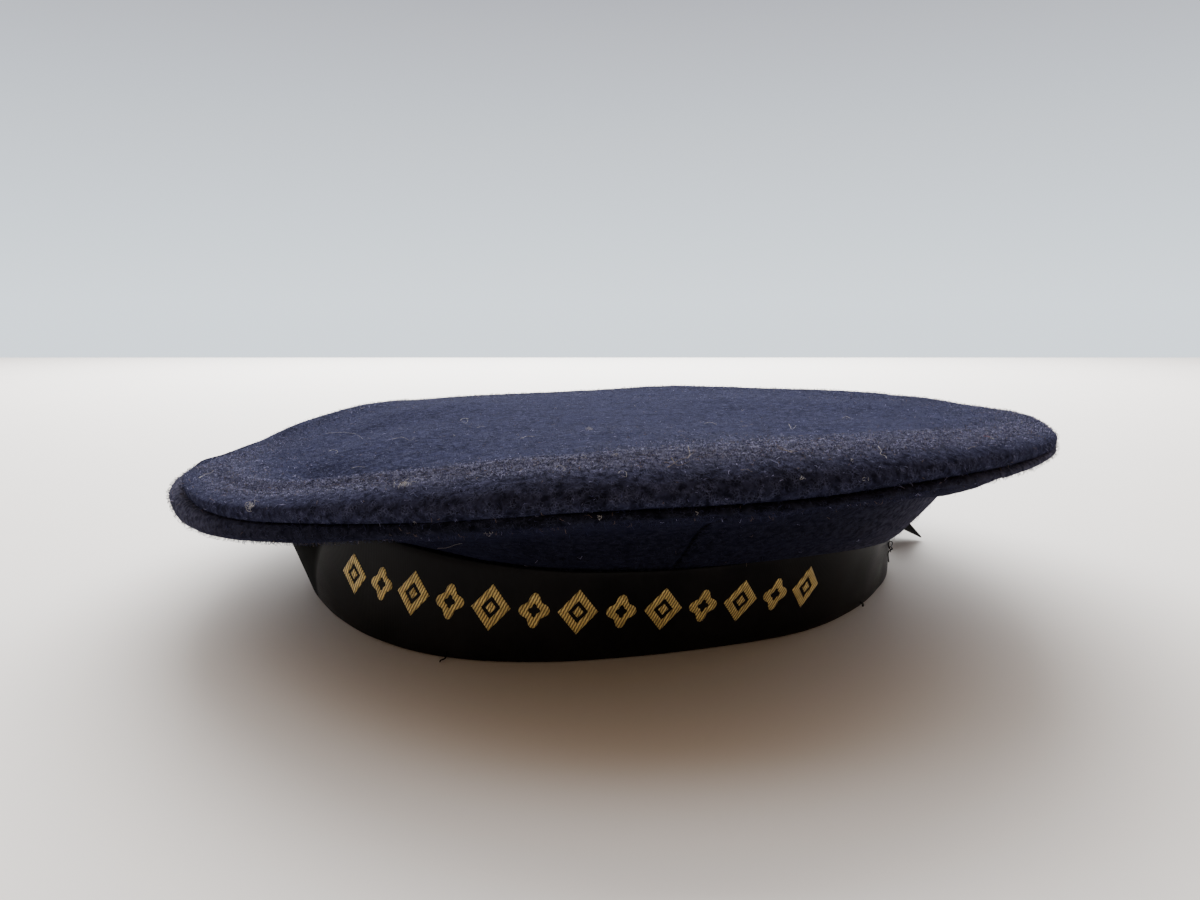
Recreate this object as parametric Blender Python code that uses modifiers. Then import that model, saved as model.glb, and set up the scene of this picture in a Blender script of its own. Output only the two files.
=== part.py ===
"""Soft round sailor cap of dark navy wool with a black silk ribbon tied round its band.

The cap stands on the lower edge of its head band. The origin is the middle of the crown, on the
table, with +Z up and the front of the cap towards -Y. An azimuth is 0 at the front and grows
towards the right-hand side (+X). Lengths in the tables are millimetres and angles are degrees.
"""
import math

import bpy
import numpy as np

MM = 0.001

# Cloth thicknesses, and the gap that neighbouring pieces keep
CROWN_WALL = 1.2 * MM
QUARTER_WALL = 1.0 * MM
BAND_WALL = 2.6 * MM
RIBBON_WALL = 1.0 * MM
BOW_WALL = 0.8 * MM
GAP = 0.3 * MM
BAND_GAP = 0.4 * MM

# How finely the cloth is divided
STATIONS = 60
STATION_START = 10.0
QUARTERS = 4
TOP_RINGS = 9
RIM_STEPS = 5
LIP_STEPS = 3
UNDER_STEPS = 6
STRIP_STEPS = 9

# The band's ring sits a little to the left of the middle of the crown
BAND_CENTRE = (-2.6 * MM, 0.0)

# The edge of the crown, a row for each section round it. The ridge is the crease where the top panel
# turns down, the brow is the panel's outermost height, the seam joins it to the side panels, and the
# lip is the side panels' rolled edge, with its outermost and its lowest height.
RIM_COLUMNS = ("azimuth", "radius", "ridge", "brow", "seam", "lip", "under")
RIM_ROWS = (
    (-165, 130.0, 42.6, 40.0, 37.0, 34.5, 31.8),
    (-140, 130.0, 42.2, 39.3, 36.4, 34.0, 31.0),
    (-115, 130.2, 39.2, 37.0, 34.4, 32.0, 29.2),
    (-90, 130.8, 36.2, 34.4, 32.4, 30.0, 27.4),
    (-65, 131.2, 37.8, 36.0, 33.8, 30.6, 26.9),
    (-50, 130.8, 39.2, 37.2, 34.6, 31.6, 28.4),
    (-40, 130.4, 41.6, 38.4, 35.8, 33.2, 30.8),
    (-30, 130.2, 45.0, 41.0, 38.2, 35.8, 33.6),
    (-20, 130.0, 49.3, 43.8, 40.5, 38.8, 37.0),
    (-10, 130.0, 53.2, 46.5, 43.2, 41.8, 40.3),
    (0, 130.0, 56.0, 48.6, 44.9, 43.6, 42.3),
    (15, 130.0, 57.0, 49.8, 46.0, 44.7, 43.3),
    (30, 130.2, 56.8, 50.8, 47.3, 45.8, 44.0),
    (45, 130.0, 55.0, 50.0, 46.8, 45.0, 43.0),
    (60, 130.0, 52.0, 48.4, 45.4, 43.8, 41.8),
    (90, 131.0, 49.4, 46.0, 43.2, 41.4, 39.2),
    (115, 130.4, 48.0, 44.5, 41.5, 39.2, 36.6),
    (140, 130.0, 47.0, 43.5, 40.3, 38.0, 35.4),
    (165, 130.0, 45.8, 42.4, 39.0, 36.6, 34.0),
)
RIDGE_INSET = 8.5 * MM
SEAM_INSET = 1.5 * MM
SIDE_SEAM_INSET = 1.05 * MM
UNDER_INSET = 3.6 * MM

# The top panel: its height in the middle, and the trough that lies behind the front ridge
TOP_CENTRE = 46.0 * MM
TOP_CURVE = 2.6
TROUGH_DEPTH = 2.6 * MM
TROUGH_PLACE = 0.74
TROUGH_WIDTH = 0.17
TROUGH_AZIMUTH = -5.0
TROUGH_SPREAD = 55.0

# How the sections of the top panel are set: closer together towards the ridge, dents fading out there,
# and two sections down the tucked edge that the seam holds
RING_SPACING = 0.8
EDGE_FADE = 6
TUCK_STEPS = ((0.55, 1.0),)

# Soft humps and hollows of the slumped top panel: place, size, turn and height of each
DENT_COLUMNS = ("x", "y", "long", "short", "turn", "height")
DENT_ROWS = (
    (-70.0, 30.0, 52.0, 20.0, 35.0, 1.8),
    (-88.0, -18.0, 34.0, 12.0, 60.0, -1.6),
    (-20.0, 55.0, 60.0, 26.0, 10.0, -1.2),
    (62.0, 40.0, 46.0, 24.0, -30.0, 1.2),
    (58.0, -50.0, 44.0, 16.0, 38.0, -1.0),
)

# The ribbon round the band and the lower edge of the wool above it, a row for each section
BAND_COLUMNS = ("azimuth", "foot", "top", "height", "neck", "neck_height")
BAND_ROWS = (
    (-165, 93.0, 93.2, 23.6, 92.6, 24.0),
    (-135, 92.5, 94.0, 24.0, 93.2, 24.4),
    (-105, 92.0, 96.5, 25.2, 95.4, 25.6),
    (-75, 92.8, 100.4, 26.2, 99.2, 26.6),
    (-50, 94.0, 98.0, 26.8, 96.6, 27.2),
    (-35, 96.6, 95.2, 26.4, 93.8, 26.8),
    (-22, 97.2, 94.4, 24.2, 93.0, 24.6),
    (-9, 93.8, 93.8, 22.6, 92.4, 23.0),
    (5, 89.4, 93.6, 22.4, 92.8, 22.8),
    (20, 87.4, 93.4, 22.6, 94.0, 23.0),
    (35, 88.6, 92.6, 22.6, 94.0, 22.0),
    (50, 88.4, 91.6, 22.6, 92.8, 19.2),
    (62, 88.6, 91.2, 22.6, 92.1, 16.6),
    (74, 90.6, 91.6, 22.6, 92.8, 14.6),
    (86, 92.0, 92.4, 22.6, 93.9, 16.6),
    (98, 92.6, 92.8, 22.6, 94.3, 21.4),
    (112, 93.0, 93.0, 22.8, 93.6, 23.3),
    (140, 93.4, 93.2, 23.0, 92.8, 23.4),
    (165, 93.4, 93.2, 23.2, 92.6, 23.6),
)
RIBBON_LIFT = 0.4 * MM
BAND_MIDDLE = 0.5
NECK_RISE = 0.15

# Soft folds of the side panels, lying along the rim: azimuth range, place between neck and lip, height
FOLD_COLUMNS = ("middle", "spread", "place", "drift", "width", "height")
FOLD_ROWS = (
    (44.0, 24.0, 0.62, -0.0050, 0.11, 1.1),
    (40.0, 20.0, 0.36, -0.0040, 0.10, 0.9),
    (-100.0, 34.0, 0.55, 0.0030, 0.14, 1.4),
    (160.0, 40.0, 0.50, 0.0020, 0.14, 1.2),
)

# The flat bow behind the right-hand side. Its rows are measured from the ribbon's face at the knot:
# along is towards the front of the cap, out is away from the band, up is up.
BOW_AZIMUTH = 117.0
BOW_RADIUS = 93.4 * MM
BOW_HEIGHT = 12.0 * MM
KNOT_SIZE = (8.6 * MM, 5.6 * MM, 13.0 * MM)
KNOT_BEVEL = 1.4 * MM
LOOP_COLUMNS = ("along", "out", "half_width")
LOOP_ROWS = (
    (4.7, 1.2, 4.0),
    (10.0, 1.0, 5.6),
    (16.0, 0.6, 7.4),
    (20.5, 0.9, 8.0),
    (22.4, 2.6, 8.0),
    (20.5, 4.6, 7.9),
    (15.0, 5.2, 7.2),
    (9.5, 5.0, 5.4),
    (4.7, 4.0, 3.9),
)
TAIL_COLUMNS = ("low_along", "low_out", "low_up", "high_along", "high_out", "high_up")
FRONT_TAIL_ROWS = (
    (4.7, 4.9, -5.2, 4.7, 2.4, -5.6),
    (9.0, 8.2, -7.0, 9.0, 5.6, -9.2),
    (16.0, 10.8, -7.4, 16.5, 6.8, -11.0),
    (25.5, 13.3, -8.2, 28.0, 5.0, -9.4),
    (35.1, 15.6, -10.4, 39.8, 2.7, -4.2),
)
BACK_TAIL_ROWS = (
    (-4.7, 4.9, -5.2, -4.7, 2.4, -5.6),
    (-9.0, 8.6, -8.2, -9.4, 5.8, -9.4),
    (-14.5, 12.0, -10.6, -17.0, 6.6, -10.4),
    (-20.0, 15.6, -11.0, -26.0, 5.6, -9.4),
    (-25.0, 19.0, -11.1, -35.0, 3.6, -6.8),
)

# Finishes as base colour, roughness and metallic, and the angle in degrees that counts as an edge
WOOL = ((0.016, 0.020, 0.048, 1.0), 0.95, 0.0)
SILK = ((0.008, 0.008, 0.009, 1.0), 0.42, 0.0)

SHARP_ANGLE = 50.0
COLLECTION = "sailor_cap"


def clear_scene():
    """Removes whatever the scene holds."""
    for thing in list(bpy.data.objects):
        bpy.data.objects.remove(thing, do_unlink=True)


def column(names, rows, name):
    """One named column of a table, as an array."""
    return np.array([row[names.index(name)] for row in rows], float)


def around(names, rows, name, azimuth):
    """A column read at any azimuth: a smooth cubic through the rows, closed round the circle."""
    stations = column(names, rows, "azimuth")
    values = column(names, rows, name)
    turn = 360.0
    x = np.concatenate([stations[-2:] - turn, stations, stations[:3] + turn])
    y = np.concatenate([values[-2:], values, values[:3]])
    slope = np.gradient(y, x)
    a = (np.asarray(azimuth, float) - stations[0]) % turn + stations[0]
    i = np.clip(np.searchsorted(x, a, side="right") - 1, 0, len(x) - 2)
    span = x[i + 1] - x[i]
    t = (a - x[i]) / span
    start = (1 + 2 * t) * (1 - t) ** 2 * y[i] + t * (1 - t) ** 2 * span * slope[i]
    end = t * t * (3 - 2 * t) * y[i + 1] - t * t * (1 - t) * span * slope[i + 1]
    return start + end


def rim(name, azimuth):
    """A length of the crown's edge, in metres, at an azimuth."""
    return around(RIM_COLUMNS, RIM_ROWS, name, azimuth) * MM


def band(name, azimuth):
    """A length of the band, in metres, at an azimuth."""
    return around(BAND_COLUMNS, BAND_ROWS, name, azimuth) * MM


def place(azimuth, radius, height, centre=(0.0, 0.0)):
    """Points at a radius and a height from an upright axis."""
    a = np.radians(azimuth)
    x = centre[0] + radius * np.sin(a)
    y = centre[1] - radius * np.cos(a)
    return np.stack(np.broadcast_arrays(x, y, height), axis=-1)


def bell(distance, width):
    """A smooth bump of height one that fades at about twice its width."""
    return np.exp(-(distance / width) ** 2)


def turned(azimuth, middle):
    """The signed angle from a middle azimuth."""
    return (azimuth - middle + 180.0) % 360.0 - 180.0


def dents(x, y):
    """Height of the soft humps and hollows of the top panel at a place."""
    total = 0.0
    for row in DENT_ROWS:
        dent = dict(zip(DENT_COLUMNS, row))
        c = math.cos(math.radians(dent["turn"]))
        s = math.sin(math.radians(dent["turn"]))
        u = (x / MM - dent["x"]) * c + (y / MM - dent["y"]) * s
        v = (y / MM - dent["y"]) * c - (x / MM - dent["x"]) * s
        total = total + dent["height"] * MM * bell(u, dent["long"]) * bell(v, dent["short"])
    return total


def top_surface(azimuth, depth):
    """The top panel from near its middle out to the ridge, down the brow and in at the seam. A depth
    of nothing gives its outer face, and the cloth's thickness gives its inner one."""
    azimuth = azimuth[:, None]
    edge = rim("radius", azimuth) - depth
    ridge = rim("ridge", azimuth)
    brow = rim("brow", azimuth)
    seam = rim("seam", azimuth) + GAP / 2
    share = np.linspace(0.0, 1.0, TOP_RINGS + 1)[1:][None, :] ** RING_SPACING
    radius = (rim("radius", azimuth) - RIDGE_INSET) * share
    height = TOP_CENTRE + (ridge - TOP_CENTRE) * share ** TOP_CURVE
    spread = bell(turned(azimuth, TROUGH_AZIMUTH), TROUGH_SPREAD)
    height = height - TROUGH_DEPTH * spread * bell(share - TROUGH_PLACE, TROUGH_WIDTH)
    top = place(azimuth, radius, height - depth)
    top[..., 2] += dents(top[..., 0], top[..., 1]) * (1 - share ** EDGE_FADE)
    swing = np.linspace(0.0, math.pi / 2, RIM_STEPS + 1)[1:][None, :]
    shoulder_radius = edge - (RIDGE_INSET - depth) * (1 - np.sin(swing))
    shoulder = place(azimuth, shoulder_radius, brow + (ridge - depth - brow) * np.cos(swing))
    tuck = np.array(TUCK_STEPS)
    fall = place(azimuth, edge - SEAM_INSET * tuck ** 2, brow + (seam - brow) * tuck)
    return np.concatenate([top, shoulder, fall], axis=1)


def folds(azimuth, share):
    """How far the soft folds push the side panels out, at a share of the way from neck to lip."""
    total = 0.0
    for row in FOLD_ROWS:
        fold = dict(zip(FOLD_COLUMNS, row))
        away = turned(azimuth, fold["middle"])
        line = fold["place"] + fold["drift"] * away
        along = fold["height"] * MM * bell(away, fold["spread"])
        total = total + along * bell(share - line, fold["width"])
    return total


def side_surface(azimuth, depth):
    """A side panel from the rim seam round the lip, under the overhang and in to the neck. A depth of
    nothing gives its outer face, and the cloth's thickness gives its inner one."""
    azimuth = azimuth[:, None]
    edge = rim("radius", azimuth)
    seam = rim("seam", azimuth) - GAP / 2
    lip = rim("lip", azimuth)
    under = rim("under", azimuth)
    start = place(azimuth, edge - SIDE_SEAM_INSET - depth, seam)
    swing = np.linspace(0.0, math.pi / 2, LIP_STEPS + 1)[None, :]
    roll_radius = edge - depth - (UNDER_INSET - depth) * (1 - np.cos(swing))
    roll = place(azimuth, roll_radius, lip + (under + depth - lip) * np.sin(swing))
    inward = np.linspace(1.0, 0.0, UNDER_STEPS + 1)[None, :]
    outer = place(azimuth, edge - UNDER_INSET, under)
    inner = place(azimuth, band("neck", azimuth), band("neck_height", azimuth), BAND_CENTRE)
    rise = inward + NECK_RISE * np.sin(math.pi * inward) ** 2
    panel = inner + (outer - inner) * inward[..., None]
    panel[..., 2] = inner[..., 2] + (outer[..., 2] - inner[..., 2]) * rise
    panel[..., 2] -= folds(azimuth, inward) * np.sin(math.pi * inward)
    # The inner face lies square to the panel's own slope
    radius = np.hypot(panel[..., 0], panel[..., 1])
    run = np.gradient(radius, axis=1)
    drop = np.gradient(panel[..., 2], axis=1)
    length = np.hypot(run, drop)
    panel = panel + depth * place(azimuth, drop / length, -run / length)
    return np.concatenate([start, roll, panel[:, 1:]], axis=1)


def band_profile(azimuth, outer_inset, wall, foot_height):
    """The closed outline of an upright wall round the band, outer face up and inner face down."""
    azimuth = azimuth[:, None]
    height = band("height", azimuth)
    foot = band("foot", azimuth) - outer_inset
    top = band("top", azimuth) - outer_inset
    middle = height * BAND_MIDDLE
    low = np.full_like(height, foot_height)
    level = np.concatenate([low, middle, height, height, middle, low], axis=1)
    inward = np.array([[0.0, 0.0, 0.0, wall, wall, wall]])
    radius = foot + (top - foot) * level / height - inward
    return place(azimuth, radius, level, BAND_CENTRE)


def make_material(name, finish):
    """A plain cloth finish."""
    colour, roughness, metallic = finish
    material = bpy.data.materials.new(name)
    material.use_nodes = True
    shader = material.node_tree.nodes["Principled BSDF"]
    shader.inputs["Base Color"].default_value = colour
    shader.inputs["Roughness"].default_value = roughness
    shader.inputs["Metallic"].default_value = metallic
    material.diffuse_color = colour
    return material


def make_object(name, points, faces, finish):
    """Puts points and faces into the scene as one named piece, with its own finish."""
    mesh = bpy.data.meshes.new(name)
    mesh.from_pydata([tuple(p) for p in points], [], faces)
    mesh.update()
    mesh.shade_smooth()
    mesh.set_sharp_from_angle(angle=math.radians(SHARP_ANGLE))
    mesh.materials.append(make_material(name, finish))
    piece = bpy.data.objects.new(name, mesh)
    bpy.data.collections[COLLECTION].objects.link(piece)
    return piece


def grid_faces(rows, columns, close_rows=False, close_columns=False):
    """Quads of a grid of points, row by row, closed over its last row or column if asked."""
    faces = []
    last_row = rows if close_rows else rows - 1
    last_column = columns if close_columns else columns - 1
    for i in range(last_row):
        for j in range(last_column):
            a = i * columns + j
            b = i * columns + (j + 1) % columns
            c = ((i + 1) % rows) * columns + (j + 1) % columns
            d = ((i + 1) % rows) * columns + j
            faces.append((a, d, c, b))
    return faces


def turned_over(faces):
    """The same faces, seen from the other side."""
    return [tuple(reversed(face)) for face in faces]


def build_crown_top():
    """The round top panel of the crown, dished, with its edge rolled down to the seam."""
    azimuth = STATION_START + np.arange(STATIONS) * 360.0 / STATIONS
    outer = top_surface(azimuth, 0.0)
    inner = top_surface(azimuth, CROWN_WALL)
    grid = np.concatenate([outer, inner[:, ::-1]], axis=1)
    rows, columns = grid.shape[:2]
    faces = turned_over(grid_faces(rows, columns, close_rows=True))
    points = list(grid.reshape(-1, 3))
    middle = len(points)
    points.append((0.0, 0.0, float(outer[:, 0, 2].mean())))
    points.append((0.0, 0.0, float(inner[:, 0, 2].mean())))
    for i in range(rows):
        here = i * columns
        there = ((i + 1) % rows) * columns
        faces.append((middle, here, there))
        faces.append((middle + 1, there + columns - 1, here + columns - 1))
    return make_object("crown_top", points, faces, WOOL)


def build_quarter(name, first):
    """One side panel, between two seams a quarter of the way round."""
    steps = STATIONS // QUARTERS
    azimuth = first + np.linspace(0.0, 360.0 / QUARTERS, steps + 1)
    clearance = math.degrees(GAP / 2 / band("neck", first))
    azimuth[0] += clearance
    azimuth[-1] -= clearance
    outer = side_surface(azimuth, 0.0)
    inner = side_surface(azimuth, QUARTER_WALL)
    grid = np.concatenate([outer, inner[:, ::-1]], axis=1)
    rows, columns = grid.shape[:2]
    faces = turned_over(grid_faces(rows, columns, close_columns=True))
    # The two ends are closed with a strip between the outer and the inner face
    last = (rows - 1) * columns
    for i in range(columns // 2 - 1):
        facing = columns - 1 - i
        faces.append((facing, facing - 1, i + 1, i))
        faces.append((last + facing - 1, last + facing, last + i, last + i + 1))
    return make_object(name, grid.reshape(-1, 3), faces, WOOL)


def build_ring(name, outer_inset, wall, foot_height, finish):
    """An upright wall of cloth that goes once round the head."""
    azimuth = STATION_START + np.arange(STATIONS) * 360.0 / STATIONS
    grid = band_profile(azimuth, outer_inset, wall, foot_height)
    rows, columns = grid.shape[:2]
    faces = grid_faces(rows, columns, True, True)
    # The inner half of the outline runs down, so its quads start one corner on: then both faces of
    # the wall are split along the same diagonal and nested walls keep an even gap.
    half = columns // 2
    faces = [face if i % columns < half else face[1:] + face[:1] for i, face in enumerate(faces)]
    return make_object(name, grid.reshape(-1, 3), faces, finish)


def bow_point(along, out, up):
    """A place near the bow, from the ribbon's face at the knot."""
    a = math.radians(BOW_AZIMUTH)
    forward = np.array([-math.cos(a), -math.sin(a), 0.0])
    outward = np.array([math.sin(a), -math.cos(a), 0.0])
    base = place(BOW_AZIMUTH, BOW_RADIUS, BOW_HEIGHT, BAND_CENTRE)
    upward = np.array([0.0, 0.0, 1.0])
    along, out, up = np.broadcast_arrays(along, out, up)
    return base + along[..., None] * forward + out[..., None] * outward + up[..., None] * upward


def follow_band(along, out):
    """Bends a straight length of ribbon back with the round of the band."""
    return out + np.sqrt(BOW_RADIUS ** 2 - along ** 2) - BOW_RADIUS


def smooth_rows(names, rows, steps):
    """A table's columns carried on smooth cubics through its rows, in metres."""
    knots = np.arange(len(rows), dtype=float)
    at = np.linspace(0.0, knots[-1], steps + 1)
    i = np.clip(at.astype(int), 0, len(rows) - 2)
    t = at - i
    result = {}
    for name in names:
        y = column(names, rows, name) * MM
        slope = np.gradient(y, knots)
        start = (1 + 2 * t) * (1 - t) ** 2 * y[i] + t * (1 - t) ** 2 * slope[i]
        end = t * t * (3 - 2 * t) * y[i + 1] - t * t * (1 - t) * slope[i + 1]
        result[name] = start + end
    return result


def build_strip(name, low, high, across=2):
    """A strip of ribbon between two edges."""
    share = np.linspace(0.0, 1.0, across + 1)[None, :, None]
    grid = low[:, None, :] + (high - low)[:, None, :] * share
    rows, columns = grid.shape[:2]
    piece = make_object(name, grid.reshape(-1, 3), grid_faces(rows, columns), SILK)
    solidify = piece.modifiers.new("wall", "SOLIDIFY")
    solidify.thickness = BOW_WALL
    solidify.offset = 0.0
    solidify.use_even_offset = True
    solidify.use_quality_normals = True
    return piece


def build_loop(name, side):
    """One flattened loop of the bow, out from the knot and back to it."""
    path = smooth_rows(LOOP_COLUMNS, LOOP_ROWS, STRIP_STEPS * 2)
    out = follow_band(path["along"], path["out"])
    along = path["along"] * side
    low = bow_point(along, out, -path["half_width"])
    high = bow_point(along, out, path["half_width"])
    return build_strip(name, low, high, across=1)


def build_tail(name, rows):
    """One free end of the ribbon, hanging from the knot and fanning out over the table."""
    path = smooth_rows(TAIL_COLUMNS, rows, STRIP_STEPS)
    low = bow_point(path["low_along"], path["low_out"], path["low_up"])
    high = bow_point(path["high_along"], path["high_out"], path["high_up"])
    return build_strip(name, low, high)


def build_knot():
    """The small flat knot of the bow."""
    bpy.ops.mesh.primitive_cube_add(size=1.0)
    piece = bpy.context.object
    piece.name = "bow_knot"
    piece.data.name = "bow_knot"
    for vertex in piece.data.vertices:
        vertex.co = [c * s for c, s in zip(vertex.co, KNOT_SIZE)]
    piece.location = bow_point(0.0, GAP + KNOT_SIZE[1] / 2, 0.0)
    piece.rotation_euler = (0.0, 0.0, math.radians(BOW_AZIMUTH))
    bevel = piece.modifiers.new("round", "BEVEL")
    bevel.width = KNOT_BEVEL
    bevel.segments = 2
    piece.data.materials.append(make_material("bow_knot", SILK))
    for collection in list(piece.users_collection):
        collection.objects.unlink(piece)
    bpy.data.collections[COLLECTION].objects.link(piece)
    return piece


def build():
    """Makes every piece of the cap."""
    clear_scene()
    collection = bpy.data.collections.new(COLLECTION)
    bpy.context.scene.collection.children.link(collection)
    build_crown_top()
    names = ("quarter_front_right", "quarter_back_right", "quarter_back_left", "quarter_front_left")
    for index, name in enumerate(names):
        build_quarter(name, STATION_START + index * 360.0 / QUARTERS)
    build_ring("head_band", RIBBON_WALL + BAND_GAP, BAND_WALL, 0.0, WOOL)
    build_ring("cap_ribbon", 0.0, RIBBON_WALL, RIBBON_LIFT, SILK)
    build_knot()
    build_loop("bow_loop_front", 1.0)
    build_loop("bow_loop_back", -1.0)
    build_tail("bow_tail_front", FRONT_TAIL_ROWS)
    build_tail("bow_tail_back", BACK_TAIL_ROWS)


build()
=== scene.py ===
import math

import bmesh
import bpy
import numpy as np
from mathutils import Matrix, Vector
from mathutils.bvhtree import BVHTree


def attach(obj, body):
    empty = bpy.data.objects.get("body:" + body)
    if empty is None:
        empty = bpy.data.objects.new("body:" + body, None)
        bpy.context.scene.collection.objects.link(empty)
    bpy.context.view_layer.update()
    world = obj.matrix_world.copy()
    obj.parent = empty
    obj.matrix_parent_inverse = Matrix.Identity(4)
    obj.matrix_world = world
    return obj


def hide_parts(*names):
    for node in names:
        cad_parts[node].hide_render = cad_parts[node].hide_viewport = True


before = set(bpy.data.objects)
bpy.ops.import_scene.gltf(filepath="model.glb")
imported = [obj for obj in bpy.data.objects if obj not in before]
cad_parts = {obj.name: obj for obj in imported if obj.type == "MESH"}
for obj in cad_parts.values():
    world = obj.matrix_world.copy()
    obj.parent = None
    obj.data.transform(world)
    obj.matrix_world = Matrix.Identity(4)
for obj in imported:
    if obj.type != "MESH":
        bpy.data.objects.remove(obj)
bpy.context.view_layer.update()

# Head band
# The stiff upright band of navy wool cloth that carries the crown and the ribbon, and that the cap
# stands on. It is several layers sewn together, with rolled edges, and its ring is pulled out of round.
MM = 0.001
TURN = 360.0
BAND_CENTRE = (-2.6 * MM, 0.0)
BAND_COLUMNS = ("azimuth", "foot", "top", "height", "neck", "neck_height")
BAND_ROWS = (
    (-165, 93.0, 93.2, 23.6, 92.6, 24.0), (-135, 92.5, 94.0, 24.0, 93.2, 24.4),
    (-105, 92.0, 97.6, 25.2, 96.5, 25.6), (-75, 92.8, 103.4, 26.2, 102.2, 26.6),
    (-50, 94.0, 98.6, 26.8, 97.2, 27.2), (-35, 96.6, 95.2, 26.4, 93.8, 26.8),
    (-22, 97.2, 94.4, 24.2, 93.0, 24.6), (-9, 93.8, 93.8, 22.6, 92.4, 23.0),
    (5, 89.4, 93.6, 22.4, 92.8, 22.8), (20, 87.4, 93.4, 22.6, 94.0, 23.0),
    (35, 88.6, 92.6, 22.6, 94.0, 22.0), (50, 88.4, 91.6, 22.6, 92.8, 19.2),
    (62, 88.6, 91.2, 22.6, 92.1, 16.6), (74, 90.6, 91.6, 22.6, 92.8, 14.6),
    (86, 92.0, 92.4, 22.6, 93.9, 16.6), (98, 92.6, 92.8, 22.6, 94.3, 21.4),
    (112, 93.0, 93.0, 22.8, 93.6, 23.3), (140, 93.4, 93.2, 23.0, 92.8, 23.4),
    (165, 93.4, 93.2, 23.2, 92.6, 23.6),
)
BAND_WALL = 2.4 * MM
BAND_INSET = 1.6 * MM
BAND_STATIONS = 200
HEAD_GIRTH = 0.585
NAVY_DEEP = (0.0060, 0.0066, 0.0140, 1.0)
NAVY_MID = (0.0150, 0.0163, 0.0350, 1.0)
NAVY_FIBRE = (0.100, 0.107, 0.182, 1.0)
# Paler navy where the cloth is marked worn: partly real rubbing, partly painted light on the brow and the
# side panels' ends
NAVY_WEAR_AND_PAINTED_LIGHT = (0.0890, 0.0880, 0.1250, 1.0)
# Darker navy for the side panels: painted shade, as they sit under the overhang
SIDE_SHADED_DEEP = (0.0042, 0.0045, 0.0072, 1.0)
SIDE_SHADED_MID = (0.0084, 0.0090, 0.0160, 1.0)
SIDE_SHADED_FIBRE = (0.034, 0.037, 0.060, 1.0)
# How far the worn mark paints the wool paler, for wear and painted light
WEAR_AND_LIGHT_SHARE = 0.62
FIBRE_SHARE = 0.55
GRAIN_RANGE = (0.40, 1.60)
WOOL_GLOSS = {
    "Roughness": 1.0,
    "Specular IOR Level": 0.004,
    "Sheen Weight": 0.034,
    "Sheen Roughness": 0.6,
    "Sheen Tint": (0.34, 0.38, 1.00, 1.0),
}


def smooth_curve(x, y, at):
    """The smooth cubic through values y at places x, with their mean slopes, read at other places."""
    slope = np.gradient(y, x)
    i = np.clip(np.searchsorted(x, at, side="right") - 1, 0, len(x) - 2)
    span = x[i + 1] - x[i]
    t = (at - x[i]) / span
    start = (1 + 2 * t) * (1 - t) ** 2 * y[i] + t * (1 - t) ** 2 * span * slope[i]
    end = t * t * (3 - 2 * t) * y[i + 1] - t * t * (1 - t) * span * slope[i + 1]
    return start + end


def read_round(columns, rows, name, azimuth):
    """A table's column at any azimuth, on a smooth cubic that closes round the cap, in metres."""
    table = np.array(rows, float)
    stations = table[:, columns.index("azimuth")]
    values = table[:, columns.index(name)]
    x = np.concatenate([stations[-2:] - TURN, stations, stations[:3] + TURN])
    y = np.concatenate([values[-2:], values, values[:3]])
    at = (np.asarray(azimuth, float) - stations[0]) % TURN + stations[0]
    return smooth_curve(x, y, at) * MM


def band(name, azimuth):
    """A length of the band at an azimuth."""
    return read_round(BAND_COLUMNS, BAND_ROWS, name, azimuth)


def stand(azimuth, radius, height, centre=(0.0, 0.0)):
    """Points at an azimuth, a radius and a height: sine and cosine of the azimuth times the radius."""
    a = np.radians(azimuth)
    x = centre[0] + radius * np.sin(a)
    y = centre[1] - radius * np.cos(a)
    return np.stack(np.broadcast_arrays(x, y, height), axis=-1)


def soft_noise(points, size, seed):
    """Smooth bumps from -1 to 1, one size apart: random values on a lattice, eased with cubic steps."""
    count = 64
    lattice = np.random.default_rng(seed).uniform(-1.0, 1.0, (count, count, count))
    p = points / size + 16.0 * count
    cell = np.floor(p).astype(int)
    t = p - cell
    t = t * t * (3 - 2 * t)
    total = np.zeros(points.shape[:-1])
    for corner in np.ndindex(2, 2, 2):
        i, j, k = ((cell[..., n] + corner[n]) % count for n in range(3))
        weight = np.ones_like(total)
        for n in range(3):
            weight = weight * (t[..., n] if corner[n] else 1 - t[..., n])
        total = total + weight * lattice[i, j, k]
    return total


def strip_outline(height, wall, side_steps, edge_steps):
    """The outline of a strip of cloth standing on edge, closed by half circles as thick as the cloth:
    the level of each point and how far in from the outer face it lies."""
    half = wall / 2
    climb = np.linspace(0.0, 1.0, side_steps)[None, :]
    swing = np.linspace(0.0, math.pi, edge_steps + 2)[1:-1][None, :]
    side = half + (height - wall) * climb
    over = height - half + half * np.sin(swing)
    under = half - half * np.sin(swing) + 0 * over
    level = np.concatenate([side, over, side[:, ::-1], under], axis=1)
    flat = np.zeros_like(side)
    inward_over = np.broadcast_to(half - half * np.cos(swing), over.shape)
    inward = np.concatenate([flat, inward_over, flat + wall, wall - inward_over], axis=1)
    return level, inward


def upright(azimuth, level, inward):
    """A wall round the band: its radius leans evenly from the foot's to the top's, less the inward."""
    foot = band("foot", azimuth)
    top = band("top", azimuth)
    radius = foot + (top - foot) * level / band("height", azimuth) - inward
    return stand(azimuth, radius, level, BAND_CENTRE)


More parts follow.
